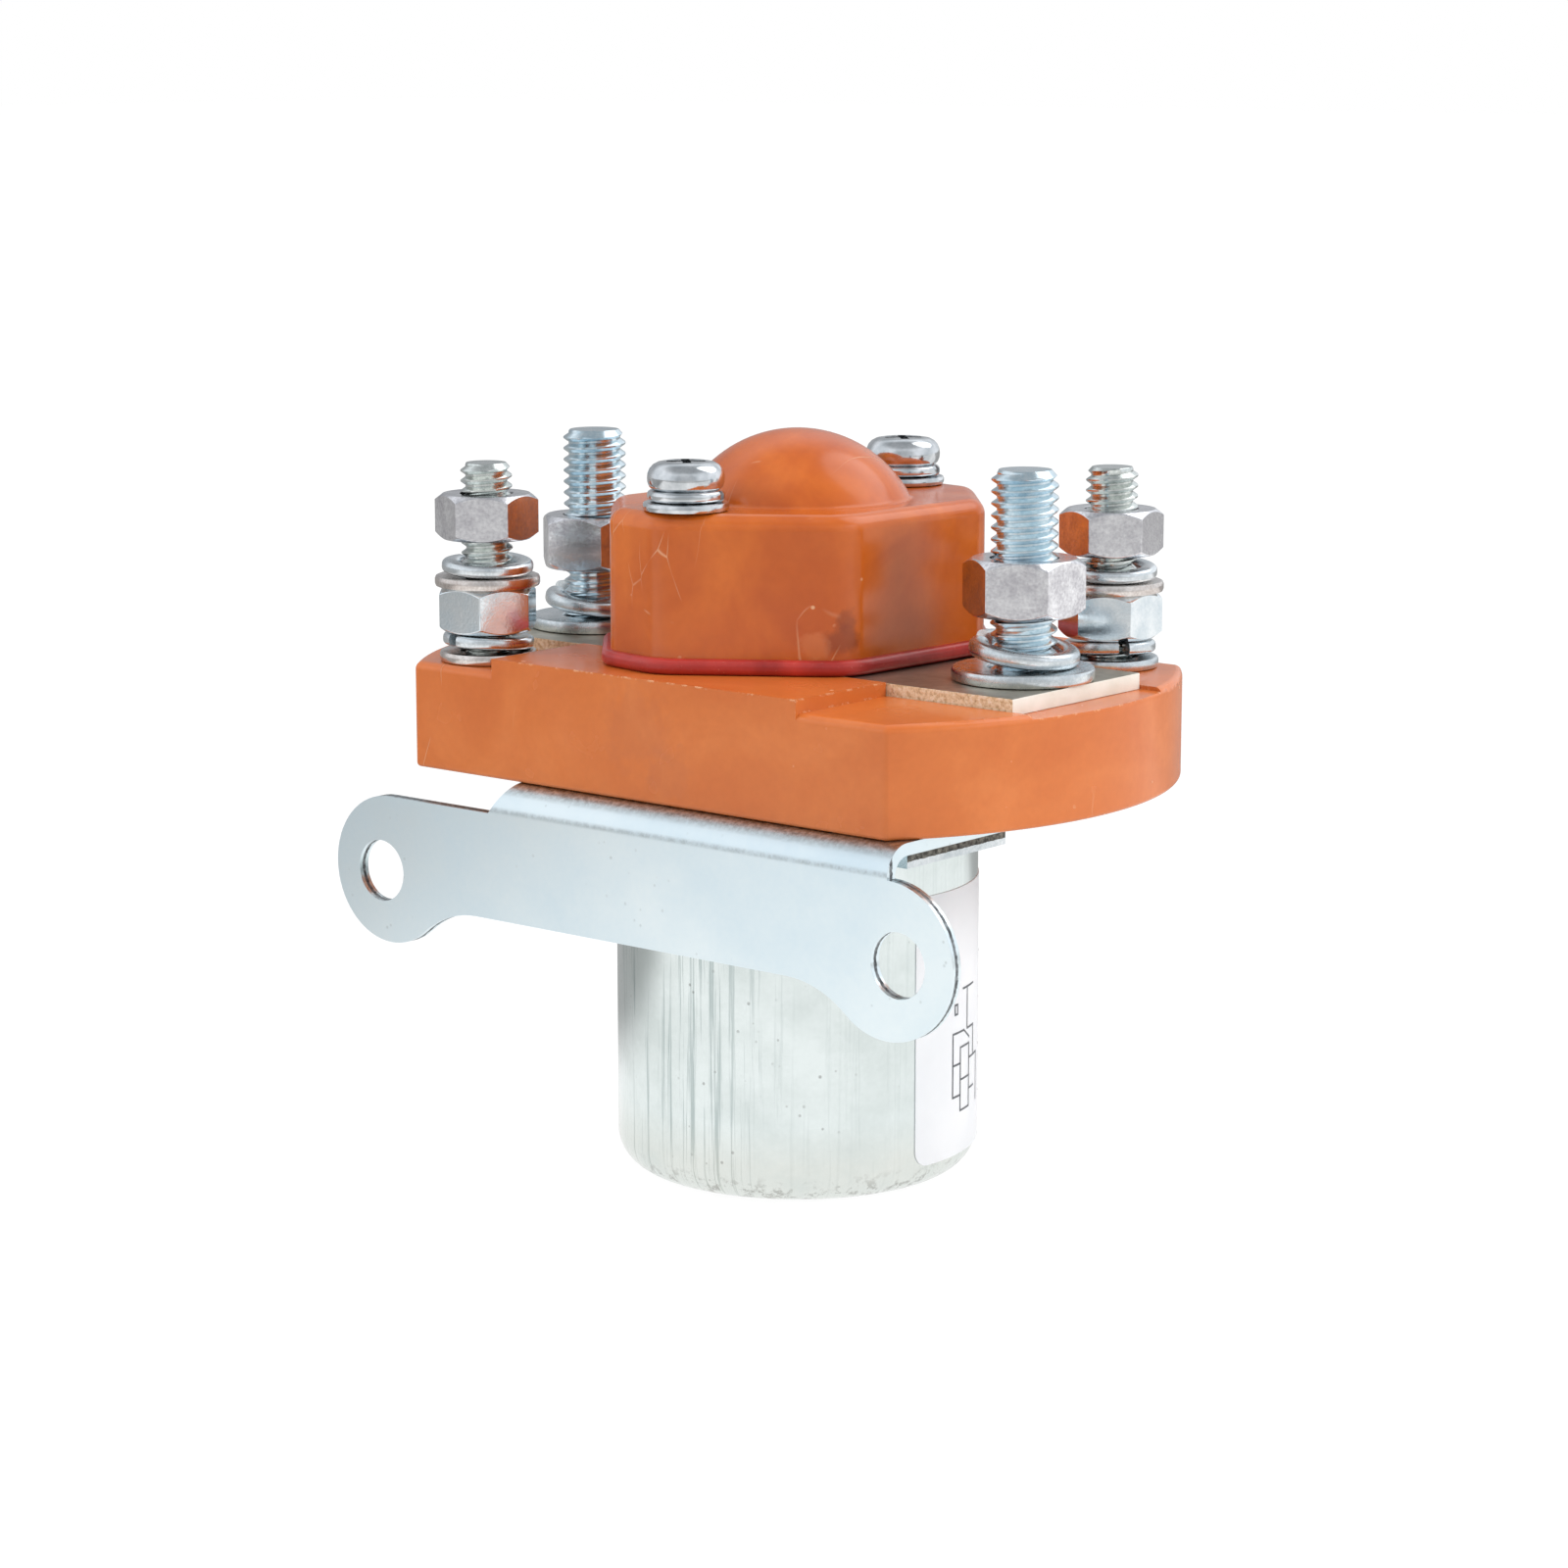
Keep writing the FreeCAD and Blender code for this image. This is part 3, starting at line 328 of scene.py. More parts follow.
def makePhenolic(name, spec):
    # compression-moulded phenolic: filler makes soft clouds of colour, the polished mould a wet gloss,
    # and handling leaves pale chips on its edges and hair scratches
    material, tree, shader, place = newMaterial(name)
    shift = addNode(tree, "Mapping", {"Location": spec["offset"]}, {"Vector": (place, "Object")})
    moved = {"Vector": (shift, 0)}
    clouds = addNode(tree, "TexNoise",
                     {"Scale": perMm(14), "Detail": 4.0, "Roughness": 0.55, "Distortion": 0.6}, moved)
    colour = addNode(tree, "ValToRGB", {}, {"Fac": (clouds, "Fac")},
                     [(0.32, spec["deep"]), (0.52, spec["middle"]), (0.7, spec["light"])])
    grain = addNode(tree, "TexNoise", {"Scale": perMm(0.9), "Detail": 3.0}, moved)
    grainLevel = addNode(tree, "MapRange", levels(0.3, 0.7, 0.975, 1.02), {"Value": (grain, "Fac")})
    grained = addNode(tree, "VectorMath", {}, {0: (colour, "Color"), "Scale": (grainLevel, "Result")},
                      operation="SCALE")
    # chips along the edges, broken up by a noise of 1.6 mm
    worn = edgeMask(tree, 0.45)
    breakUp = addNode(tree, "TexNoise", {"Scale": perMm(1.6), "Detail": 5.0, "Roughness": 0.7}, moved)
    chipped = addNode(tree, "MapRange", levels(spec["chips"], spec["chips"] + 0.05, 0.0, 1.0),
                      {"Value": (breakUp, "Fac")})
    chips = addNode(tree, "Math", {}, {0: (worn, "Result"), 1: (chipped, "Result")}, operation="MULTIPLY")
    # pale flecks of bared filler, about 0.5 mm
    cells = addNode(tree, "TexVoronoi", {"Scale": perMm(4.5), "Randomness": 1.0}, moved, feature="F1")
    fleck = addNode(tree, "MapRange", levels(0.045, 0.075, 1.0, 0.0), {"Value": (cells, "Distance")})
    rare = addNode(tree, "TexNoise", {"Scale": perMm(9), "Detail": 1.0}, moved)
    rarer = addNode(tree, "MapRange", levels(0.52, 0.6, 0.0, 0.8), {"Value": (rare, "Fac")})
    flecks = addNode(tree, "Math", {}, {0: (fleck, "Result"), 1: (rarer, "Result")}, operation="MULTIPLY")
    # hair scratches: the thin walls between stretched, bent cells
    stretch = addNode(tree, "Mapping", {"Rotation": (0.5, 0.3, 0.9), "Scale": (1.0, 0.16, 0.3)}, moved)
    bend = addNode(tree, "TexNoise", {"Scale": perMm(20)}, moved)
    bent = addNode(tree, "VectorMath", {1: (0.004, 0.004, 0.004)}, {0: (bend, "Color")}, operation="MULTIPLY")
    line = addNode(tree, "VectorMath", {}, {0: (stretch, 0), 1: (bent, 0)}, operation="ADD")
    walls = addNode(tree, "TexVoronoi", {"Scale": perMm(3.4)}, {"Vector": (line, 0)},
                    feature="DISTANCE_TO_EDGE")
    hair = addNode(tree, "MapRange", levels(0.0, 0.016, 1.0, 0.0), {"Value": (walls, "Distance")})
    gate = addNode(tree, "TexNoise", {"Scale": perMm(7), "Detail": 2.0}, {"Vector": (line, 0)})
    gated = addNode(tree, "MapRange", levels(spec["scratchGate"], spec["scratchGate"] + 0.06, 0.0, 0.5),
                    {"Value": (gate, "Fac")})
    scratches = addNode(tree, "Math", {}, {0: (hair, "Result"), 1: (gated, "Result")}, operation="MULTIPLY")
    marks = addNode(tree, "Math", {}, {0: (flecks, 0), 1: (scratches, 0)}, operation="MAXIMUM")
    pale = addNode(tree, "Math", {}, {0: (marks, 0), 1: (chips, 0)}, operation="MAXIMUM")
    # larger patches, their outlines broken by a noise; the cover's two dark ones are painted shade at its
    # corner
    surface = grained, 0
    ragged = addNode(tree, "TexNoise", {"Scale": perMm(2.2), "Detail": 4.0, "Roughness": 0.6},
                     {"Vector": (place, "Object")})
    for markPlace, width, markAndShadeColour, strength in spec["marks"]:
        reach = addNode(tree, "VectorMath", {1: [c * mm for c in markPlace]}, {0: (place, "Object")},
                        operation="DISTANCE")
        blurred = addNode(tree, "Math", {1: width * 1.6 * mm}, {0: (ragged, "Fac"), 2: (reach, "Value")},
                          operation="MULTIPLY_ADD")
        inside = addNode(tree, "MapRange", levels(width * 1.35 * mm, width * 1.8 * mm, strength, 0.0),
                         {"Value": (blurred, 0)})
        surface = addNode(tree, "Mix", {7: markAndShadeColour}, {0: (inside, "Result"), 6: surface},
                          data_type="RGBA"), 2
    final = addNode(tree, "Mix", {7: "#E9BE93"}, {0: (pale, 0), 6: surface}, data_type="RGBA")
    tree.links.new(final.outputs[2], shader.inputs["Base Color"])
    smear = addNode(tree, "TexNoise", {"Scale": perMm(6), "Detail": 3.0}, moved)
    low, high = spec["roughness"]
    gloss = addNode(tree, "MapRange", levels(0.3, 0.7, low, high), {"Value": (smear, "Fac")})
    dull = addNode(tree, "Math", {1: 0.3}, {0: (pale, 0), 2: (gloss, "Result")}, operation="MULTIPLY_ADD")
    tree.links.new(dull.outputs[0], shader.inputs["Roughness"])
    shader.inputs["IOR"].default_value = spec["index"]
    # the mould's slight waviness, then fine grain, then the chips' depth
    wavy = addNode(tree, "TexNoise", {"Scale": perMm(5), "Detail": 1.0}, moved)
    wave = addNode(tree, "Bump", {"Strength": 0.12, "Distance": 0.12 * mm}, {"Height": (wavy, "Fac")})
    skin = addNode(tree, "Bump", {"Strength": 0.06, "Distance": 0.02 * mm},
                   {"Height": (grain, "Fac"), "Normal": (wave, "Normal")})
    pit = addNode(tree, "Bump", {"Strength": 0.6, "Distance": 0.12 * mm},
                  {"Height": (pale, 0), "Normal": (skin, "Normal")}, invert=True)
    tree.links.new(pit.outputs["Normal"], shader.inputs["Normal"])
    return material


zincSpecs = {
    # base colours, roughness range, size of the cloudy patches in mm, size and share of the grain, and how
    # rough the surface is
    "zincCan": {"dark": "#DDE6E4", "light": "#ECF4F3", "roughness": (0.16, 0.22), "patchMm": 9,
                "grainMm": 0.6, "grainShare": 0.15, "bump": 0.1},
    "zincBracket": {"dark": "#E4F4FB", "light": "#F1FCFF", "roughness": (0.3, 0.38), "patchMm": 26,
                    "grainMm": 0.8, "grainShare": 0.16, "bump": 0.05},
    "zincNut": {"dark": "#C6C4C9", "light": "#FBFBFD", "roughness": (0.12, 0.26), "patchMm": 2.2,
                "grainMm": 0.4, "grainShare": 0.7, "bump": 0.26},
    "zincNutBright": {"dark": "#D9E4EA", "light": "#F6FBFD", "roughness": (0.07, 0.15), "patchMm": 3,
                      "grainMm": 0.34, "grainShare": 0.3, "bump": 0.12},
    "zincThread": {"dark": "#C4DAE5", "light": "#F0F8FB", "roughness": (0.12, 0.24), "patchMm": 5,
                   "grainMm": 0.5, "grainShare": 0.5, "bump": 0.12},
    "zincThreadPale": {"dark": "#BCC3C0", "light": "#EDF1EE", "roughness": (0.13, 0.26), "patchMm": 4,
                       "grainMm": 0.4, "grainShare": 0.6, "bump": 0.2},
    "zincWasher": {"dark": "#C6CFD3", "light": "#F0F4F6", "roughness": (0.18, 0.32), "patchMm": 3.5,
                   "grainMm": 0.35, "grainShare": 0.5, "bump": 0.16},
    "duskyWasher": {"dark": "#C6BAB3", "light": "#ECE5E0", "roughness": (0.16, 0.3), "patchMm": 3,
                    "grainMm": 0.35, "grainShare": 0.6, "bump": 0.22},
}


def shearedEdge(tree, place, spec, colour):
    # a sheared sheet's edge: a bright burnished strip and a dark torn one, side by side through the sheet
    facing = addNode(tree, "NewGeometry")
    ways = {"X": (1, 0, 0), "Y": (0, 1, 0), "Z": (0, 0, 1)}
    onEdge = addNode(tree, "VectorMath", {1: ways[spec["faces"]]}, {0: (facing, "Normal")},
                     operation="DOT_PRODUCT")
    flat = addNode(tree, "Math", {}, {0: (onEdge, "Value")}, operation="ABSOLUTE")
    span = levels(0.6, 0.8, 0.0, 1.0) if spec["onFaces"] else levels(0.2, 0.4, 1.0, 0.0)
    chosen = addNode(tree, "MapRange", span, {"Value": (flat, 0)})
    through = addNode(tree, "VectorMath", {1: ways[spec["through"]]}, {0: (place, "Object")},
                      operation="DOT_PRODUCT")
    rag = addNode(tree, "TexNoise", {"Scale": perMm(0.8), "Detail": 4.0, "Roughness": 0.7},
                  {"Vector": (place, "Object")})
    ragged = addNode(tree, "Math", {1: 0.5 * mm}, {0: (rag, "Fac"), 2: (through, "Value")},
                     operation="MULTIPLY_ADD")
    low, high = [level * mm for level in spec["tornMm"]]
    above = addNode(tree, "Math", {1: low + 0.25 * mm}, {0: (ragged, 0)}, operation="GREATER_THAN")
    below = addNode(tree, "Math", {1: high + 0.25 * mm}, {0: (ragged, 0)}, operation="LESS_THAN")
    strip = addNode(tree, "Math", {}, {0: (above, 0), 1: (below, 0)}, operation="MULTIPLY")
    torn = addNode(tree, "Math", {}, {0: (strip, 0), 1: (chosen, "Result")}, operation="MULTIPLY")
    speck = addNode(tree, "ValToRGB", {}, {"Fac": (rag, "Fac")},
                    [(0.4, spec["tornDark"]), (0.62, spec["tornLight"])])
    mixed = addNode(tree, "Mix", {}, {0: (torn, 0), 6: colour, 7: (speck, "Color")}, data_type="RGBA")
    return torn, (mixed, 2)


canSpec = {
    # the can's radius in millimetres, and how far round from +X toward -Y, in radians, its lines are clearest
    # and their painted shade darkest
    "radiusMm": 22.5, "linesAndShadeTurn": 1.66,
}


def drawnLines(tree, place, clouds, colour):
    # upright lines that the drawing die left, their darker colour also painted shade on the can's -Y side,
    # then dull scuffs and a faint stain round the foot
    apart = addNode(tree, "SeparateXYZ", links={0: (place, "Object")})
    angle = addNode(tree, "Math", {}, {0: (apart, "Y"), 1: (apart, "X")}, operation="ARCTAN2")
    # the radius turns the angle into millimetres round the can, and the height is squeezed
    around = addNode(tree, "Math", {1: canSpec["radiusMm"]}, {0: (angle, 0)}, operation="MULTIPLY")
    tall = addNode(tree, "Math", {1: perMm(60)}, {0: (apart, "Z")}, operation="MULTIPLY")
    strip = addNode(tree, "CombineXYZ", {}, {"X": (around, 0), "Y": (tall, 0)})
    drawn = addNode(tree, "TexNoise", {"Scale": 1.1, "Detail": 6.0, "Roughness": 0.7}, {"Vector": (strip, 0)})
    # the lines are strongest round the can's -Y side, where their darker colour also paints shade
    off = addNode(tree, "Math", {1: canSpec["linesAndShadeTurn"]}, {0: (angle, 0)}, operation="ADD")
    far = addNode(tree, "Math", {}, {0: (off, 0)}, operation="ABSOLUTE")
    strength = addNode(tree, "MapRange", levels(0.3, 0.75, 0.8, 0.12), {"Value": (far, 0)})
    scored = addNode(tree, "MapRange", levels(0.53, 0.6, 0.0, 1.0), {"Value": (drawn, "Fac")})
    share = addNode(tree, "Math", {}, {0: (scored, "Result"), 1: (strength, "Result")}, operation="MULTIPLY")
    # the lines' darker grey, which on the -Y side is also painted shade
    colour = addNode(tree, "Mix", {7: "#AEBCBB"}, {0: (share, 0), 6: colour}, data_type="RGBA"), 2
    height = share, 0
    # scuffs and a faint stain round the foot
    scuff = addNode(tree, "TexNoise", {"Scale": perMm(2.2), "Detail": 6.0, "Roughness": 0.75},
                    {"Vector": (place, "Object")})
    foot = addNode(tree, "MapRange", levels(1.5 * mm, 4.0 * mm, 1.0, 0.0), {"Value": (apart, "Z")})
    rubbed = addNode(tree, "MapRange", levels(0.52, 0.6, 0.0, 0.75), {"Value": (scuff, "Fac")})
    worn = addNode(tree, "Math", {}, {0: (foot, "Result"), 1: (rubbed, "Result")}, operation="MULTIPLY")
    colour = addNode(tree, "Mix", {7: "#93999A"}, {0: (worn, 0), 6: colour}, data_type="RGBA"), 2
    band = addNode(tree, "MapRange", levels(5.0 * mm, 10.0 * mm, 0.35, 0.0), {"Value": (apart, "Z")})
    stain = addNode(tree, "Math", {}, {0: (band, "Result"), 1: (clouds, "Fac")}, operation="MULTIPLY")
    colour = addNode(tree, "Mix", {7: "#CDBFA4"}, {0: (stain, 0), 6: colour}, data_type="RGBA"), 2
    return colour, height


def bendReflectionAndToolLine(tree, place, colour):
    # over the bend's top a painted reflection of the unlit room, darker and speckled, with the tool's line at
    # its foot
    turned = addNode(tree, "NewGeometry")
    upward = addNode(tree, "SeparateXYZ", links={0: (turned, "Normal")})
    crown = addNode(tree, "MapRange", levels(0.6, 0.86, 0.0, 1.0), {"Value": (upward, "Z")})
    footUp = addNode(tree, "MapRange", levels(0.03, 0.1, 0.0, 0.5), {"Value": (upward, "Z")})
    footDown = addNode(tree, "MapRange", levels(0.16, 0.26, 1.0, 0.0), {"Value": (upward, "Z")})
    toolLine = addNode(tree, "Math", {}, {0: (footUp, "Result"), 1: (footDown, "Result")},
                       operation="MULTIPLY")
    reflectionAndToolLine = addNode(tree, "Math", {}, {0: (crown, "Result"), 1: (toolLine, 0)}, operation="MAXIMUM")
    specks = addNode(tree, "TexNoise", {"Scale": perMm(0.7), "Detail": 4.0, "Roughness": 0.7},
                     {"Vector": (place, "Object")})
    speckled = addNode(tree, "MapRange", levels(0.38, 0.62, 0.35, 0.95), {"Value": (specks, "Fac")})
    speckledReflectionAndLine = addNode(tree, "Math", {}, {0: (reflectionAndToolLine, 0), 1: (speckled, "Result")}, operation="MULTIPLY")
    # the darker grey: painted reflection over the bend's top, and the tool's line
    colour = addNode(tree, "Mix", {7: "#9BA1A1"}, {0: (speckledReflectionAndLine, 0), 6: colour}, data_type="RGBA"), 2
    return colour


def makeZinc(name, spec, lines=False, bent=False, sheared=None):
    # bright zinc plating over steel: cloudy crystals and a blue cast from the passivation
    material, tree, shader, place = newMaterial(name)
    where = {"Vector": (place, "Object")}
    clouds = addNode(tree, "TexNoise", {"Scale": perMm(spec["patchMm"]), "Detail": 5.0, "Roughness": 0.6},
                     where)
    grain = addNode(tree, "TexNoise", {"Scale": perMm(spec["grainMm"]), "Detail": 3.0}, where)
    even = addNode(tree, "Math", {1: spec["grainShare"]}, {0: (grain, "Fac")}, operation="MULTIPLY")
    field = addNode(tree, "Math", {}, {0: (clouds, "Fac"), 1: (even, 0)}, operation="ADD")
    middle, spread = 0.5 + 0.5 * spec["grainShare"], 0.14 + 0.14 * spec["grainShare"]
    level = addNode(tree, "MapRange", levels(middle - spread, middle + spread, 0.0, 1.0),
                    {"Value": (field, 0)})
    ramp = addNode(tree, "ValToRGB", {}, {"Fac": (level, "Result")},
                   [(0.0, spec["dark"]), (1.0, spec["light"])])
    colour = ramp, "Color"
    height = grain, "Fac"
    if lines:
        colour, height = drawnLines(tree, place, clouds, colour)
    # small dark pits, about 0.3 mm
    cells = addNode(tree, "TexVoronoi", {"Scale": perMm(1.9)}, where)
    pit = addNode(tree, "MapRange", levels(0.07, 0.13, 1.0, 0.0), {"Value": (cells, "Distance")})
    seldom = addNode(tree, "MapRange", levels(0.5, 0.6, 0.0, 0.5 if lines else 0.2),
                     {"Value": (clouds, "Fac")})
    pits = addNode(tree, "Math", {}, {0: (pit, "Result"), 1: (seldom, "Result")}, operation="MULTIPLY")
    colour = addNode(tree, "Mix", {7: "#6D6A63"}, {0: (pits, 0), 6: colour}, data_type="RGBA"), 2
    low, high = spec["roughness"]
    rough = addNode(tree, "MapRange", levels(0.0, 1.0, high, low), {"Value": (level, "Result")})
    roughness = rough, "Result"
    if bent:
        colour = bendReflectionAndToolLine(tree, place, colour)
    if sheared:
        torn, colour = shearedEdge(tree, place, sheared, colour)
        dulled = addNode(tree, "Math", {1: 0.3}, {0: (torn, 0), 2: roughness}, operation="MULTIPLY_ADD")
        roughness = dulled, 0
    tree.links.new(colour[0].outputs[colour[1]], shader.inputs["Base Color"])
    shader.inputs["Metallic"].default_value = 1.0
    tree.links.new(roughness[0].outputs[roughness[1]], shader.inputs["Roughness"])
    relief = addNode(tree, "Bump", {"Strength": spec["bump"], "Distance": 0.05 * mm}, {"Height": height})
    sunk = addNode(tree, "Bump", {"Strength": 0.4, "Distance": 0.06 * mm},
                   {"Height": (pits, 0), "Normal": (relief, "Normal")}, invert=True)
    tree.links.new(sunk.outputs["Normal"], shader.inputs["Normal"])
    return material


def makePlain(name, colours, roughness, metallic, patchMm, grainMm, bump, ridgeMm=None):
    # a cloudy two-colour finish with fine grain; ridgeMm adds the ridges of laid wire or tape, that far apart
    material, tree, shader, place = newMaterial(name)
    where = {"Vector": (place, "Object")}
    clouds = addNode(tree, "TexNoise", {"Scale": perMm(patchMm), "Detail": 4.0}, where)
    colour = addNode(tree, "ValToRGB", {}, {"Fac": (clouds, "Fac")}, [(0.35, colours[0]), (0.68, colours[1])])
    tree.links.new(colour.outputs["Color"], shader.inputs["Base Color"])
    shader.inputs["Metallic"].default_value = metallic
    low, high = roughness
    rough = addNode(tree, "MapRange", levels(0.3, 0.7, low, high), {"Value": (clouds, "Fac")})
    tree.links.new(rough.outputs["Result"], shader.inputs["Roughness"])
    grain = addNode(tree, "TexNoise", {"Scale": perMm(grainMm), "Detail": 3.0}, where)
    relief = addNode(tree, "Bump", {"Strength": bump, "Distance": 0.04 * mm}, {"Height": (grain, "Fac")})
    if ridgeMm:
        # a band texture's bands are 2 pi / 20 of a unit wide at scale 1
        ridges = addNode(tree, "TexWave", {"Scale": perMm(ridgeMm) * math.pi / 10, "Distortion": 0.0}, where,
                         wave_type="BANDS", bands_direction="Z")
        relief = addNode(tree, "Bump", {"Strength": 0.8, "Distance": 0.2 * mm},
                         {"Height": (ridges, "Fac"), "Normal": (relief, "Normal")})
    tree.links.new(relief.outputs["Normal"], shader.inputs["Normal"])
    return material


def makeTerminalPlate():
    # tin-plated brass bar: a soft grey-beige top, bright pale end faces, and long edges torn by the shear
    material, tree, shader, place = newMaterial("tinnedBrassPlate")
    where = {"Vector": (place, "Object")}
    normal = addNode(tree, "NewGeometry")
    facing = addNode(tree, "SeparateXYZ", links={0: (normal, "Normal")})
    sideways = addNode(tree, "Math", {}, {0: (facing, "Y")}, operation="ABSOLUTE")
    sheared = addNode(tree, "MapRange", levels(0.55, 0.75, 0.0, 1.0), {"Value": (sideways, 0)})
    endways = addNode(tree, "Math", {}, {0: (facing, "X")}, operation="ABSOLUTE")
    cut = addNode(tree, "MapRange", levels(0.5, 0.8, 0.0, 1.0), {"Value": (endways, 0)})
    clouds = addNode(tree, "TexNoise", {"Scale": perMm(6), "Detail": 5.0, "Roughness": 0.65}, where)
    top = addNode(tree, "ValToRGB", {}, {"Fac": (clouds, "Fac")}, [(0.35, "#A9A190"), (0.65, "#CDC6B5")])
    end = addNode(tree, "ValToRGB", {}, {"Fac": (clouds, "Fac")}, [(0.35, "#E4E4D9"), (0.65, "#F3F3EB")])
    torn = addNode(tree, "TexNoise", {"Scale": perMm(0.55), "Detail": 4.0, "Roughness": 0.7}, where)
    edge = addNode(tree, "ValToRGB", {}, {"Fac": (torn, "Fac")},
                   [(0.36, "#C2AA82"), (0.5, "#EBD7B3"), (0.66, "#FAF1DF")])
    flat = addNode(tree, "Mix", {}, {0: (cut, "Result"), 6: (top, "Color"), 7: (end, "Color")},
                   data_type="RGBA"), 2
    both = addNode(tree, "Mix", {}, {0: (sheared, "Result"), 6: flat, 7: (edge, "Color")}, data_type="RGBA")
    tree.links.new(both.outputs[2], shader.inputs["Base Color"])
    dull = addNode(tree, "Math", {}, {0: (sheared, "Result"), 1: (cut, "Result")}, operation="MAXIMUM")
    metal = addNode(tree, "MapRange", levels(0.0, 1.0, 1.0, 0.12), {"Value": (dull, 0)})
    tree.links.new(metal.outputs["Result"], shader.inputs["Metallic"])
    rough = addNode(tree, "MapRange", levels(0.0, 1.0, 0.4, 0.65), {"Value": (sheared, "Result")})
    tree.links.new(rough.outputs["Result"], shader.inputs["Roughness"])
    depth = addNode(tree, "MapRange", levels(0.0, 1.0, 0.12, 1.0), {"Value": (sheared, "Result")})
    relief = addNode(tree, "Bump", {"Distance": 0.15 * mm},
                     {"Height": (torn, "Fac"), "Strength": (depth, "Result")})
    tree.links.new(relief.outputs["Normal"], shader.inputs["Normal"])
    return material


def makeRubber():
    # red silicone rubber: a dull skin with a soft shine and dust caught on it
    material, tree, shader, place = newMaterial("redSiliconeRubber")
    where = {"Vector": (place, "Object")}
    clouds = addNode(tree, "TexNoise", {"Scale": perMm(5), "Detail": 4.0}, where)
    colour = addNode(tree, "ValToRGB", {}, {"Fac": (clouds, "Fac")}, [(0.35, "#962724"), (0.7, "#BE3B33")])
    dust = addNode(tree, "TexNoise", {"Scale": perMm(0.6), "Detail": 5.0, "Roughness": 0.8}, where)
    dusty = addNode(tree, "MapRange", levels(0.6, 0.72, 0.0, 0.6), {"Value": (dust, "Fac")})
    both = addNode(tree, "Mix", {7: "#D98F78"}, {0: (dusty, "Result"), 6: (colour, "Color")},
                   data_type="RGBA")
    tree.links.new(both.outputs[2], shader.inputs["Base Color"])
    shader.inputs["Roughness"].default_value = 0.3
    relief = addNode(tree, "Bump", {"Strength": 0.3, "Distance": 0.05 * mm}, {"Height": (dust, "Fac")})
    tree.links.new(relief.outputs["Normal"], shader.inputs["Normal"])
    return material


finish = {name: makePhenolic(name, spec) for name, spec in phenolicSpec.items()}
plainSpecs = {
    # material name, two colours, roughness range, metallic, sizes of the cloudy patches and of the grain in
    # millimetres, how rough the surface is, and how far apart its ridges are
    "nickelScrew": ("nickelPlatedScrew", ("#BFC4C7", "#EDEFF1"), (0.08, 0.18), 1.0, 2.0, 0.5, 0.15),
    "paperLabel": ("coatedPaperLabel", ("#E3E5E8", "#ECEDEF"), (0.4, 0.5), 0.0, 12, 0.6, 0.05),
    "printInk": ("greyPrintInk", ("#55585C", "#6A6D70"), (0.5, 0.6), 0.0, 4, 0.6, 0.05),
    "softIron": ("turnedSoftIron", ("#77797B", "#9A9C9E"), (0.3, 0.45), 1.0, 2.5, 0.3, 0.3),
    "nylon": ("mouldedNylon", ("#D3CBB5", "#E2DBC8"), (0.4, 0.5), 0.0, 8, 0.5, 0.1),
    # the wire and the tape's turns are drawn coarser than the real 0.45 and 9 mm, so that they show
    "copperWire": ("enamelledCopperWire", ("#9C4A22", "#C06A35"), (0.2, 0.3), 0.8, 3, 0.5, 0.1, 2.83),
    "coilTape": ("polyesterTape", ("#C9A02C", "#D9B440"), (0.25, 0.35), 0.0, 10, 0.6, 0.1, 56.5),
    "bareCopper": ("rolledCopper", ("#B26A48", "#CC8560"), (0.25, 0.4), 1.0, 4, 0.4, 0.2),
    "silver": ("silverAlloy", ("#C9C8C2", "#E4E3DE"), (0.2, 0.35), 1.0, 1.5, 0.3, 0.2),
    "springWire": ("drawnSpringWire", ("#82858A", "#A9ACB0"), (0.2, 0.3), 1.0, 2, 0.3, 0.2),
    "laminate": ("laminatedPaperBoard", ("#3A2418", "#54351F"), (0.4, 0.5), 0.0, 3, 0.3, 0.2),
    "leadSleeve": ("redWireSleeve", ("#9C1F18", "#B62D22"), (0.35, 0.45), 0.0, 4, 0.4, 0.1),
}
finish.update({name: makePlain(*spec) for name, spec in plainSpecs.items()})
finish["tinnedPlate"] = makeTerminalPlate()
finish["siliconeRubber"] = makeRubber()

shearSpecs = {
    # which faces are sheared, which way the sheet's thickness runs, and where the torn strip lies in it
    "zincBracket": {"faces": "Y", "onFaces": False, "through": "Y", "tornMm": (-31.5, -31.0),
                    "tornDark": "#5F6264", "tornLight": "#A9AFB2"},
    "zincYoke": {"faces": "X", "onFaces": True, "through": "Z", "tornMm": (47.75, 48.6),
                 "tornDark": "#4B4A46", "tornLight": "#9A988F"},
}
zincSpecs["zincYoke"] = dict(zincSpecs["zincWasher"], patchMm=8)
for finishName, finishSpec in zincSpecs.items():
    finish[finishName] = makeZinc(finishName, finishSpec, finishName == "zincCan",
                                  finishName == "zincBracket", shearSpecs.get(finishName))
print("materials made:", len(finish))


# Can, bracket, label

dressNode("can", "drawnCan", finish["zincCan"], 0.15)
dressNode("bracket", "foldedBracket", finish["zincBracket"], 0.18)
dressNode("label", "canLabel", finish["paperLabel"])

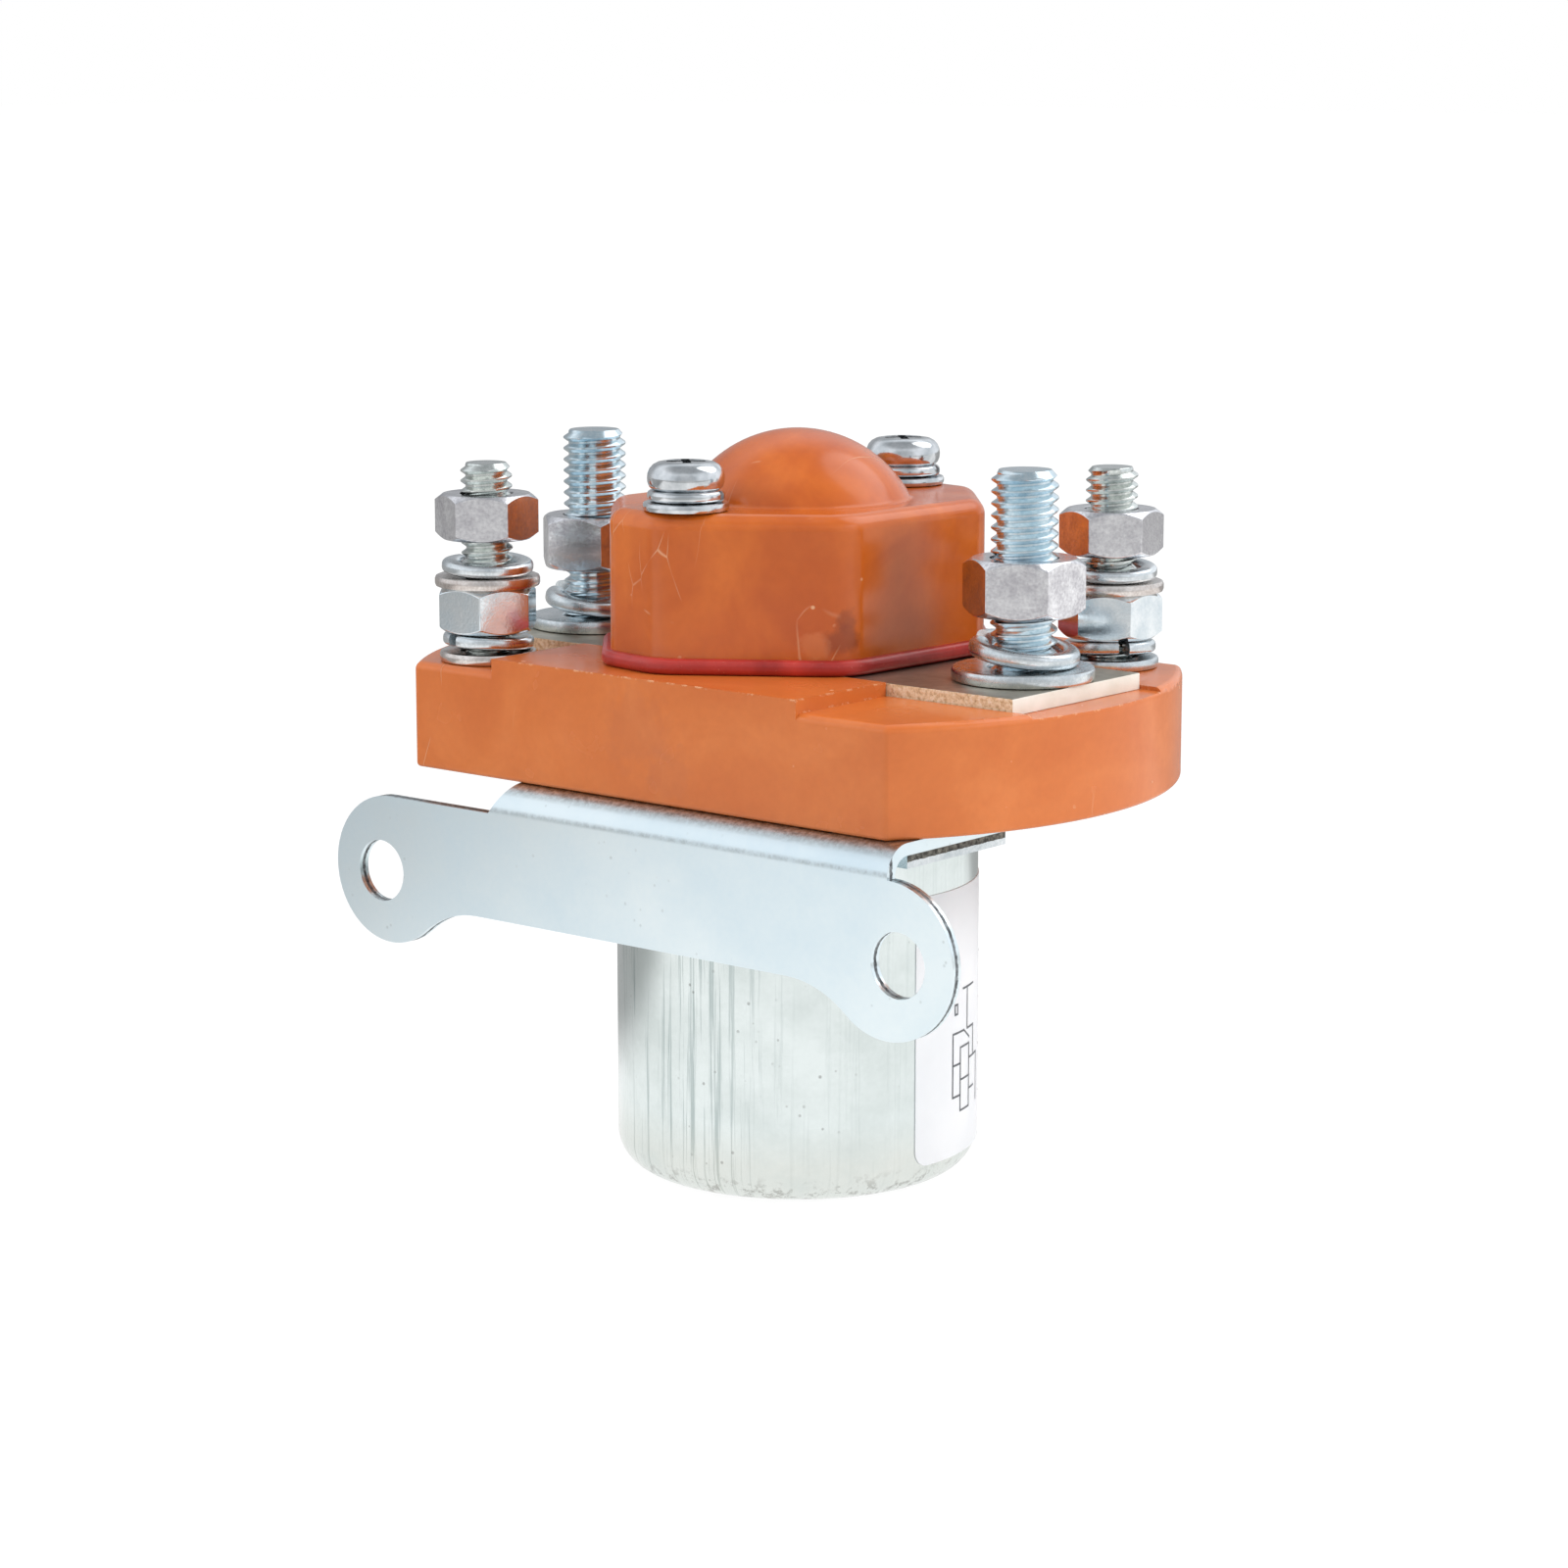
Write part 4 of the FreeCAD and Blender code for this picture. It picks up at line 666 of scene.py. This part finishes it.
circuitSpec = {
    # a plain circuit diagram: strokes as pairs of points, degrees round the can and millimetres up, with the
    # stroke's width and how far it stands off the label
    "radius": 22.63, "proud": 0.02, "width": 0.27,
    "strokes": [((7.0, 19.0), (14.5, 19.0)), ((14.5, 19.0), (19.0, 17.8)), ((7.0, 11.0), (7.0, 19.0)),
                ((7.0, 11.0), (12.0, 11.0)), ((7.0, 15.0), (12.0, 15.0)), ((12.0, 9.0), (12.0, 17.0)),
                ((12.0, 17.0), (19.0, 17.0)), ((12.0, 12.9), (19.2, 12.9)), ((12.0, 9.0), (19.0, 9.0)),
                ((19.0, 9.0), (19.0, 17.0)), ((13.8, 24.3), (23.0, 24.3)), ((17.2, 19.0), (23.3, 19.0)),
                ((17.2, 19.0), (17.2, 24.3)), ((8.2, 21.4), (9.8, 21.4)), ((9.8, 21.4), (9.8, 22.6)),
                ((9.8, 22.6), (8.2, 22.6)), ((8.2, 22.6), (8.2, 21.4)), ((23.3, 19.0), (23.3, 15.1)),
                ((19.0, 15.1), (28.0, 15.1)), ((28.0, 15.1), (28.0, 9.0)), ((19.0, 11.2), (24.0, 11.2)),
                ((36.0, 9.0), (64.0, 9.0)), ((64.0, 9.0), (64.0, 27.0)), ((64.0, 27.0), (36.0, 27.0)),
                ((36.0, 27.0), (36.0, 9.0)), ((36.0, 21.0), (64.0, 21.0)), ((36.0, 15.0), (64.0, 15.0)),
                ((50.0, 9.0), (50.0, 27.0))],
}
bm = bmesh.new()
for (startTurn, startUp), (endTurn, endUp) in circuitSpec["strokes"]:
    half = circuitSpec["width"] / 2
    halfTurn = math.degrees(half / circuitSpec["radius"])
    turns = sorted((startTurn, endTurn))
    ups = sorted((startUp, endUp))
    slope = 0 if endTurn == startTurn else (endUp - startUp) / (endTurn - startTurn)
    level = abs(endTurn - startTurn) > 0
    cells = max(1, round((turns[1] - turns[0]) / 1.5))
    made = bmesh.ops.create_grid(bm, x_segments=cells, y_segments=1, size=0.5)["verts"]
    for vert in made:
        share, side = vert.co.x + 0.5, vert.co.y * 2
        if level:
            turn = turns[0] - halfTurn + share * (turns[1] - turns[0] + 2 * halfTurn)
            up = startUp + slope * (turn - startTurn) + side * half
        else:
            turn = startTurn + side * halfTurn
            up = ups[0] - half + share * (ups[1] - ups[0] + 2 * half)
        angle = math.radians(turn)
        reach = circuitSpec["radius"] + circuitSpec["proud"]
        vert.co = Vector((reach * math.cos(angle), reach * math.sin(angle), up)) * mm
bmesh.ops.recalc_face_normals(bm, faces=bm.faces)
meshObject("circuitPrint", bm, finish["printInk"], None, weighted=False)
print("can, bracket and label done")


# Base, cover and seal

dressNode("base", "mouldedBase", finish["baseMoulding"], 0.25)
dressNode("cover", "domedCover", finish["coverMoulding"], 0.2)
dressNode("cover_gasket", "coverSeal", finish["siliconeRubber"])
for side in ("left", "right"):
    dressNode("terminal_plate_" + side, "terminalPlate_" + side, finish["tinnedPlate"], 0.12)
print("base, cover and plates done")


# Threaded studs

studSpecs = {
    # millimetres and degrees; the threads are the standard coarse inch ones, 18 and 20 to the inch
    "power_stud": {"radius": 3.97, "pitch": 1.411, "threadLow": 62.1, "chamfer": 0.95, "headHeight": 5.0,
                   "turns": {"left": 40, "right": 200}, "look": "zincThread"},
    "coil_stud": {"radius": 3.175, "pitch": 1.27, "threadLow": 61.6, "chamfer": 0.8, "headHeight": 4.0,
                  "turns": {"left": 120, "right": 300}, "look": "zincThreadPale"},
}
# the thread's depth as a share of its pitch, how much of its crest is rounded, in millimetres, and how
# steeply a stud's top is chamfered
threadSpec = {"stepsPerTurn": 40, "depth": 0.48, "crestRound": 0.1, "chamferSlope": 0.9}


def threadedLength(spec, top):
    # one tooth of the thread, spun up a helix, cut level at both ends and chamfered at the top
    radius, pitch = spec["radius"], spec["pitch"]
    root = radius - threadSpec["depth"] * pitch
    shoulder = radius - threadSpec["crestRound"]
    steps = threadSpec["stepsPerTurn"]
    tooth = [(root, 0.0), (root, 0.12), (shoulder, 0.4), (radius, 0.47), (radius, 0.6), (shoulder, 0.67),
             (root, 0.95), (root, 1.0)]
    turns = math.ceil((top - spec["threadLow"]) / pitch) + 3
    bm = bmesh.new()
    start = spec["threadLow"] - pitch
    corners = [bm.verts.new((r * mm, 0, (start + share * pitch) * mm)) for r, share in tooth]
    lines = [bm.edges.new(pair) for pair in zip(corners, corners[1:])]
    bmesh.ops.spin(bm, geom=corners + lines, cent=(0, 0, 0), axis=(0, 0, 1),
                   dvec=(0, 0, pitch / steps * mm), angle=2 * math.pi * turns, steps=turns * steps,
                   use_merge=False, use_duplicate=False)
    bmesh.ops.remove_doubles(bm, verts=bm.verts, dist=0.004 * mm)
    for level, up in ((spec["threadLow"], -1), (top, 1)):
        whole = bm.verts[:] + bm.edges[:] + bm.faces[:]
        bmesh.ops.bisect_plane(bm, geom=whole, dist=0.0005 * mm, plane_co=(0, 0, level * mm),
                               plane_no=(0, 0, up), clear_outer=True)
        rim = [e for e in bm.edges if e.is_boundary
               and all(abs(v.co.z - level * mm) < 0.01 * mm for v in e.verts)]
        bmesh.ops.contextual_create(bm, geom=rim)
    for vert in bm.verts:
        over = vert.co.z / mm - (top - spec["chamfer"])
        reach = math.hypot(vert.co.x, vert.co.y) / mm
        limit = radius - threadSpec["chamferSlope"] * over
        if over > 0 and reach > limit:
            vert.co.x *= limit / reach
            vert.co.y *= limit / reach
    bmesh.ops.recalc_face_normals(bm, faces=bm.faces)
    return bm


def addDisc(bm, radius, low, high, softMm):
    # a turned disc or plain shank, its two rims softened
    made = bmesh.ops.create_cone(bm, cap_ends=True, cap_tris=False, segments=64, radius1=radius * mm,
                                 radius2=radius * mm, depth=(high - low) * mm,
                                 matrix=Matrix.Translation((0, 0, (low + high) / 2 * mm)))
    rims = {e for v in made["verts"] for e in v.link_edges if abs(e.verts[0].co.z - e.verts[1].co.z) < 1e-7}
    bmesh.ops.bevel(bm, geom=list(rims), offset=softMm * mm, offset_type="OFFSET", affect="EDGES", segments=3,
                    profile=0.5, material=-1)


for studName, spec in studSpecs.items():
    for side, turn in spec["turns"].items():
        node = studName + "_" + side
        low, high = spanMm(node)
        bm = threadedLength(spec, high.z)
        headTop = low.z + spec["headHeight"]
        addDisc(bm, (high.x - low.x) / 2, low.z, headTop, 0.5)
        addDisc(bm, spec["radius"] - 0.1, headTop - 0.2, spec["threadLow"] + 0.3, 0.05)  # its plain shank
        turnAbout(bm, bm.verts, turn, "Z")
        middle = (low + high) / 2 * mm
        bmesh.ops.translate(bm, vec=(middle.x, middle.y, 0), verts=bm.verts)
        name = studName.replace("_stud", "Stud") + "_" + side
        meshObject(name, bm, finish[spec["look"]], node, 40, weighted=False)
print("studs threaded")


# Nuts

nutSpecs = {
    # millimetres: the bore in the solid, its open mouth, which clears the thread's crests, and the soft edges
    "power_nut": {"bore": 3.51, "mouth": 4.12, "edge": 0.2, "look": "zincNut"},
    "coil_nut_lower": {"bore": 2.76, "mouth": 3.3, "edge": 0.17, "look": "zincNutBright"},
    "coil_nut_upper": {"bore": 2.76, "mouth": 3.3, "edge": 0.17, "look": "zincNut"},
}

for nutName, spec in nutSpecs.items():
    for side in ("left", "right"):
        node = nutName + "_" + side
        low, high = spanMm(node)
        centre = ((low + high) / 2 * mm).xy
        bm = mergedCopy(node)
        for vert in bm.verts:
            away = vert.co.xy - centre
            if abs(away.length / mm - spec["bore"]) < 0.05:
                away = away.normalized() * spec["mouth"] * mm
                vert.co.x, vert.co.y = centre.x + away.x, centre.y + away.y
        softenEdges(bm, spec["edge"], 22, 3)
        name = nutName.replace("_nut", "Nut") + "_" + side
        meshObject(name, bm, finish[spec["look"]], node, 40)
print("nuts done")


# Washers

for nodeName in sorted(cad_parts):
    if "flat_washer" in nodeName:
        look = "nickelScrew" if nodeName.startswith("cover") else "zincWasher"
        if "upper" in nodeName or nodeName == "coil_flat_washer_lower_left":
            look = "duskyWasher"
        name = nodeName.replace("_flat_washer", "FlatWasher")
        dressNode(nodeName, name, finish[look], 0.42)

springWasherSpecs = {
    # millimetres and degrees: outer and inner radius, thickness, lean, the low side's direction on the left
    # or front stud and on the right or rear one, and how far the ends at the high side stand apart
    "power_spring_washer": {"outer": 6.6, "inner": 4.4, "thick": 2.0, "lean": 8.0, "turns": (15, 15),
                            "rise": 0.5},
    "coil_spring_washer_lower": {"outer": 5.65, "inner": 3.55, "thick": 1.6, "lean": 3.8, "turns": (81, 144),
                                 "rise": 0.1},
    "coil_spring_washer_upper": {"outer": 5.65, "inner": 3.55, "thick": 1.6, "lean": 3.8, "turns": (-10, -30),
                                 "rise": 0.4},
    "cover_spring_washer": {"outer": 4.65, "inner": 2.25, "thick": 1.3, "lean": 0.0, "turns": (200, 200),
                            "rise": 0.1},
}
# how far a ring is open, the bar's steps round it, and its round corners as a share of its thickness
splitSpec = {"degrees": 14, "steps": 84, "cornerShare": 0.4}


def splitRing(spec, turn):
    # a round-cornered bar bent into one open turn that climbs a little
    bm = bmesh.new()
    bmesh.ops.create_grid(bm, x_segments=1, y_segments=1, size=0.5 * mm)
    bmesh.ops.scale(bm, vec=(spec["outer"] - spec["inner"], spec["thick"], 1), verts=bm.verts)
    bmesh.ops.bevel(bm, geom=bm.verts[:], offset=splitSpec["cornerShare"] * spec["thick"] * mm,
                    offset_type="OFFSET", affect="VERTICES", segments=6, profile=0.5, material=-1)
    turnAbout(bm, bm.verts, 90, "X")
    bmesh.ops.translate(bm, vec=((spec["outer"] + spec["inner"]) / 2 * mm, 0,
                                 (spec["thick"] - spec["rise"]) / 2 * mm), verts=bm.verts)
    steps = splitSpec["steps"]
    section = bm.verts[:] + bm.edges[:] + bm.faces[:]
    bmesh.ops.spin(bm, geom=section, cent=(0, 0, 0), axis=(0, 0, 1), dvec=(0, 0, spec["rise"] / steps * mm),
                   angle=math.radians(360 - splitSpec["degrees"]), steps=steps, use_merge=False,
                   use_duplicate=False)
    bmesh.ops.holes_fill(bm, edges=[e for e in bm.edges if e.is_boundary], sides=0)
    bmesh.ops.recalc_face_normals(bm, faces=bm.faces)
    for axis, degrees in (("Z", splitSpec["degrees"] / 2 + 180), ("Y", spec["lean"]), ("Z", turn)):
        turnAbout(bm, bm.verts, degrees, axis)
    return bm


for washerName, spec in springWasherSpecs.items():
    onCover = washerName.startswith("cover")
    for side, turn in zip(("front", "rear") if onCover else ("left", "right"), spec["turns"]):
        node = washerName + "_" + side
        low, high = spanMm(node)
        hub = washerName.split("_spring")[0] + ("_screw_" if onCover else "_stud_") + side
        hubLow, hubHigh = spanMm(hub)
        middle = (hubLow + hubHigh) / 2
        bm = splitRing(spec, turn)
        foot = min(v.co.z for v in bm.verts)
        bmesh.ops.translate(bm, vec=(middle.x * mm, middle.y * mm, low.z * mm - foot), verts=bm.verts)
        look = "nickelScrew" if onCover else "zincWasher"
        name = washerName.replace("_spring_washer", "SpringWasher") + "_" + side
        meshObject(name, bm, finish[look], node, 50, weighted=False)
print("washers done")


# Cover screws

screwSpec = {
    # millimetres: a round pan head, drawn in under its rim, with a cross pressed into its crown; pairs of
    # radius and height over the head's seat
    "head": [(0.0, 0.0), (3.6, 0.0), (4.05, 0.12), (4.4, 0.45), (4.6, 0.95), (4.65, 1.5), (4.58, 2.05),
             (4.35, 2.6), (3.95, 3.05), (3.4, 3.34), (2.7, 3.46), (0.0, 3.5)],
    "shank": 2.0, "crossLength": 4.6, "crossWidth": 1.0, "crossDepth": 1.7, "crossTurn": 45,
}

for end in ("front", "rear"):
    low, high = spanMm("cover_screw_" + end)
    seat = high.z - screwSpec["head"][-1][1]
    middle = (low + high) / 2 * mm
    bm = bmesh.new()
    corners = [bm.verts.new((r * mm, 0, (seat + up) * mm)) for r, up in screwSpec["head"]]
    lines = [bm.edges.new(pair) for pair in zip(corners, corners[1:])]
    bmesh.ops.spin(bm, geom=corners + lines, cent=(0, 0, 0), axis=(0, 0, 1), angle=2 * math.pi, steps=72,
                   use_merge=True, use_duplicate=False)
    bmesh.ops.remove_doubles(bm, verts=bm.verts, dist=0.002 * mm)
    bmesh.ops.recalc_face_normals(bm, faces=bm.faces)
    addDisc(bm, screwSpec["shank"], low.z, seat + 0.5, 0.1)
    bmesh.ops.translate(bm, vec=(middle.x, middle.y, 0), verts=bm.verts)
    screw = meshObject("coverScrew_" + end, bm, finish["nickelScrew"], "cover_screw_" + end,
                       40, weighted=False)
    cutter = bmesh.new()
    for quarter in (0, 90):
        made = bmesh.ops.create_cube(cutter, size=1.0)["verts"]
        bmesh.ops.scale(cutter, vec=(screwSpec["crossLength"] * mm, screwSpec["crossWidth"] * mm,
                                     2 * screwSpec["crossDepth"] * mm), verts=made)
        turnAbout(cutter, made, screwSpec["crossTurn"] + quarter, "Z")
    bmesh.ops.translate(cutter, vec=(middle.x, middle.y, high.z * mm), verts=cutter.verts)
    mesh = bpy.data.meshes.new("crossCutter_" + end)
    cutter.to_mesh(mesh)
    cutter.free()
    cross = bpy.data.objects.new("crossCutter_" + end, mesh)
    bpy.context.scene.collection.objects.link(cross)
    cut = screw.modifiers.new("cross", "BOOLEAN")
    cut.operation, cut.object, cut.solver = "DIFFERENCE", cross, "EXACT"
    cut.use_self = True
    depsgraph = bpy.context.evaluated_depsgraph_get()
    finished = bpy.data.meshes.new_from_object(screw.evaluated_get(depsgraph))
    screw.modifiers.clear()
    screw.data = finished
    bpy.data.objects.remove(cross)
print("cover screws done")


# Inside: the CAD nodes with their own finishes

insideFinish = {
    "zincYoke": ("yoke_plate",), "softIron": ("pole_plate", "fixed_core", "plunger"), "nylon": ("bobbin",),
    "copperWire": ("winding",), "coilTape": ("winding_wrap",), "bareCopper": ("contact_bridge",),
    "laminate": ("stop_washer", "insulating_bush", "insulating_washer"),
    "springWire": ("push_rod", "return_spring", "contact_spring", "spring_cap", "retaining_clip"),
    "leadSleeve": ("coil_lead_left", "coil_lead_right"),
    "silver": ("fixed_contact_left", "fixed_contact_right", "moving_contact_left", "moving_contact_right"),
    "zincWasher": ("yoke_screw_front", "yoke_screw_rear"),
}
for look, nodeNames in insideFinish.items():
    for nodeName in nodeNames:
        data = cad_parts[nodeName].data
        data.materials.clear()
        data.materials.append(finish[look])
print("inside finished")

low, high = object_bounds()
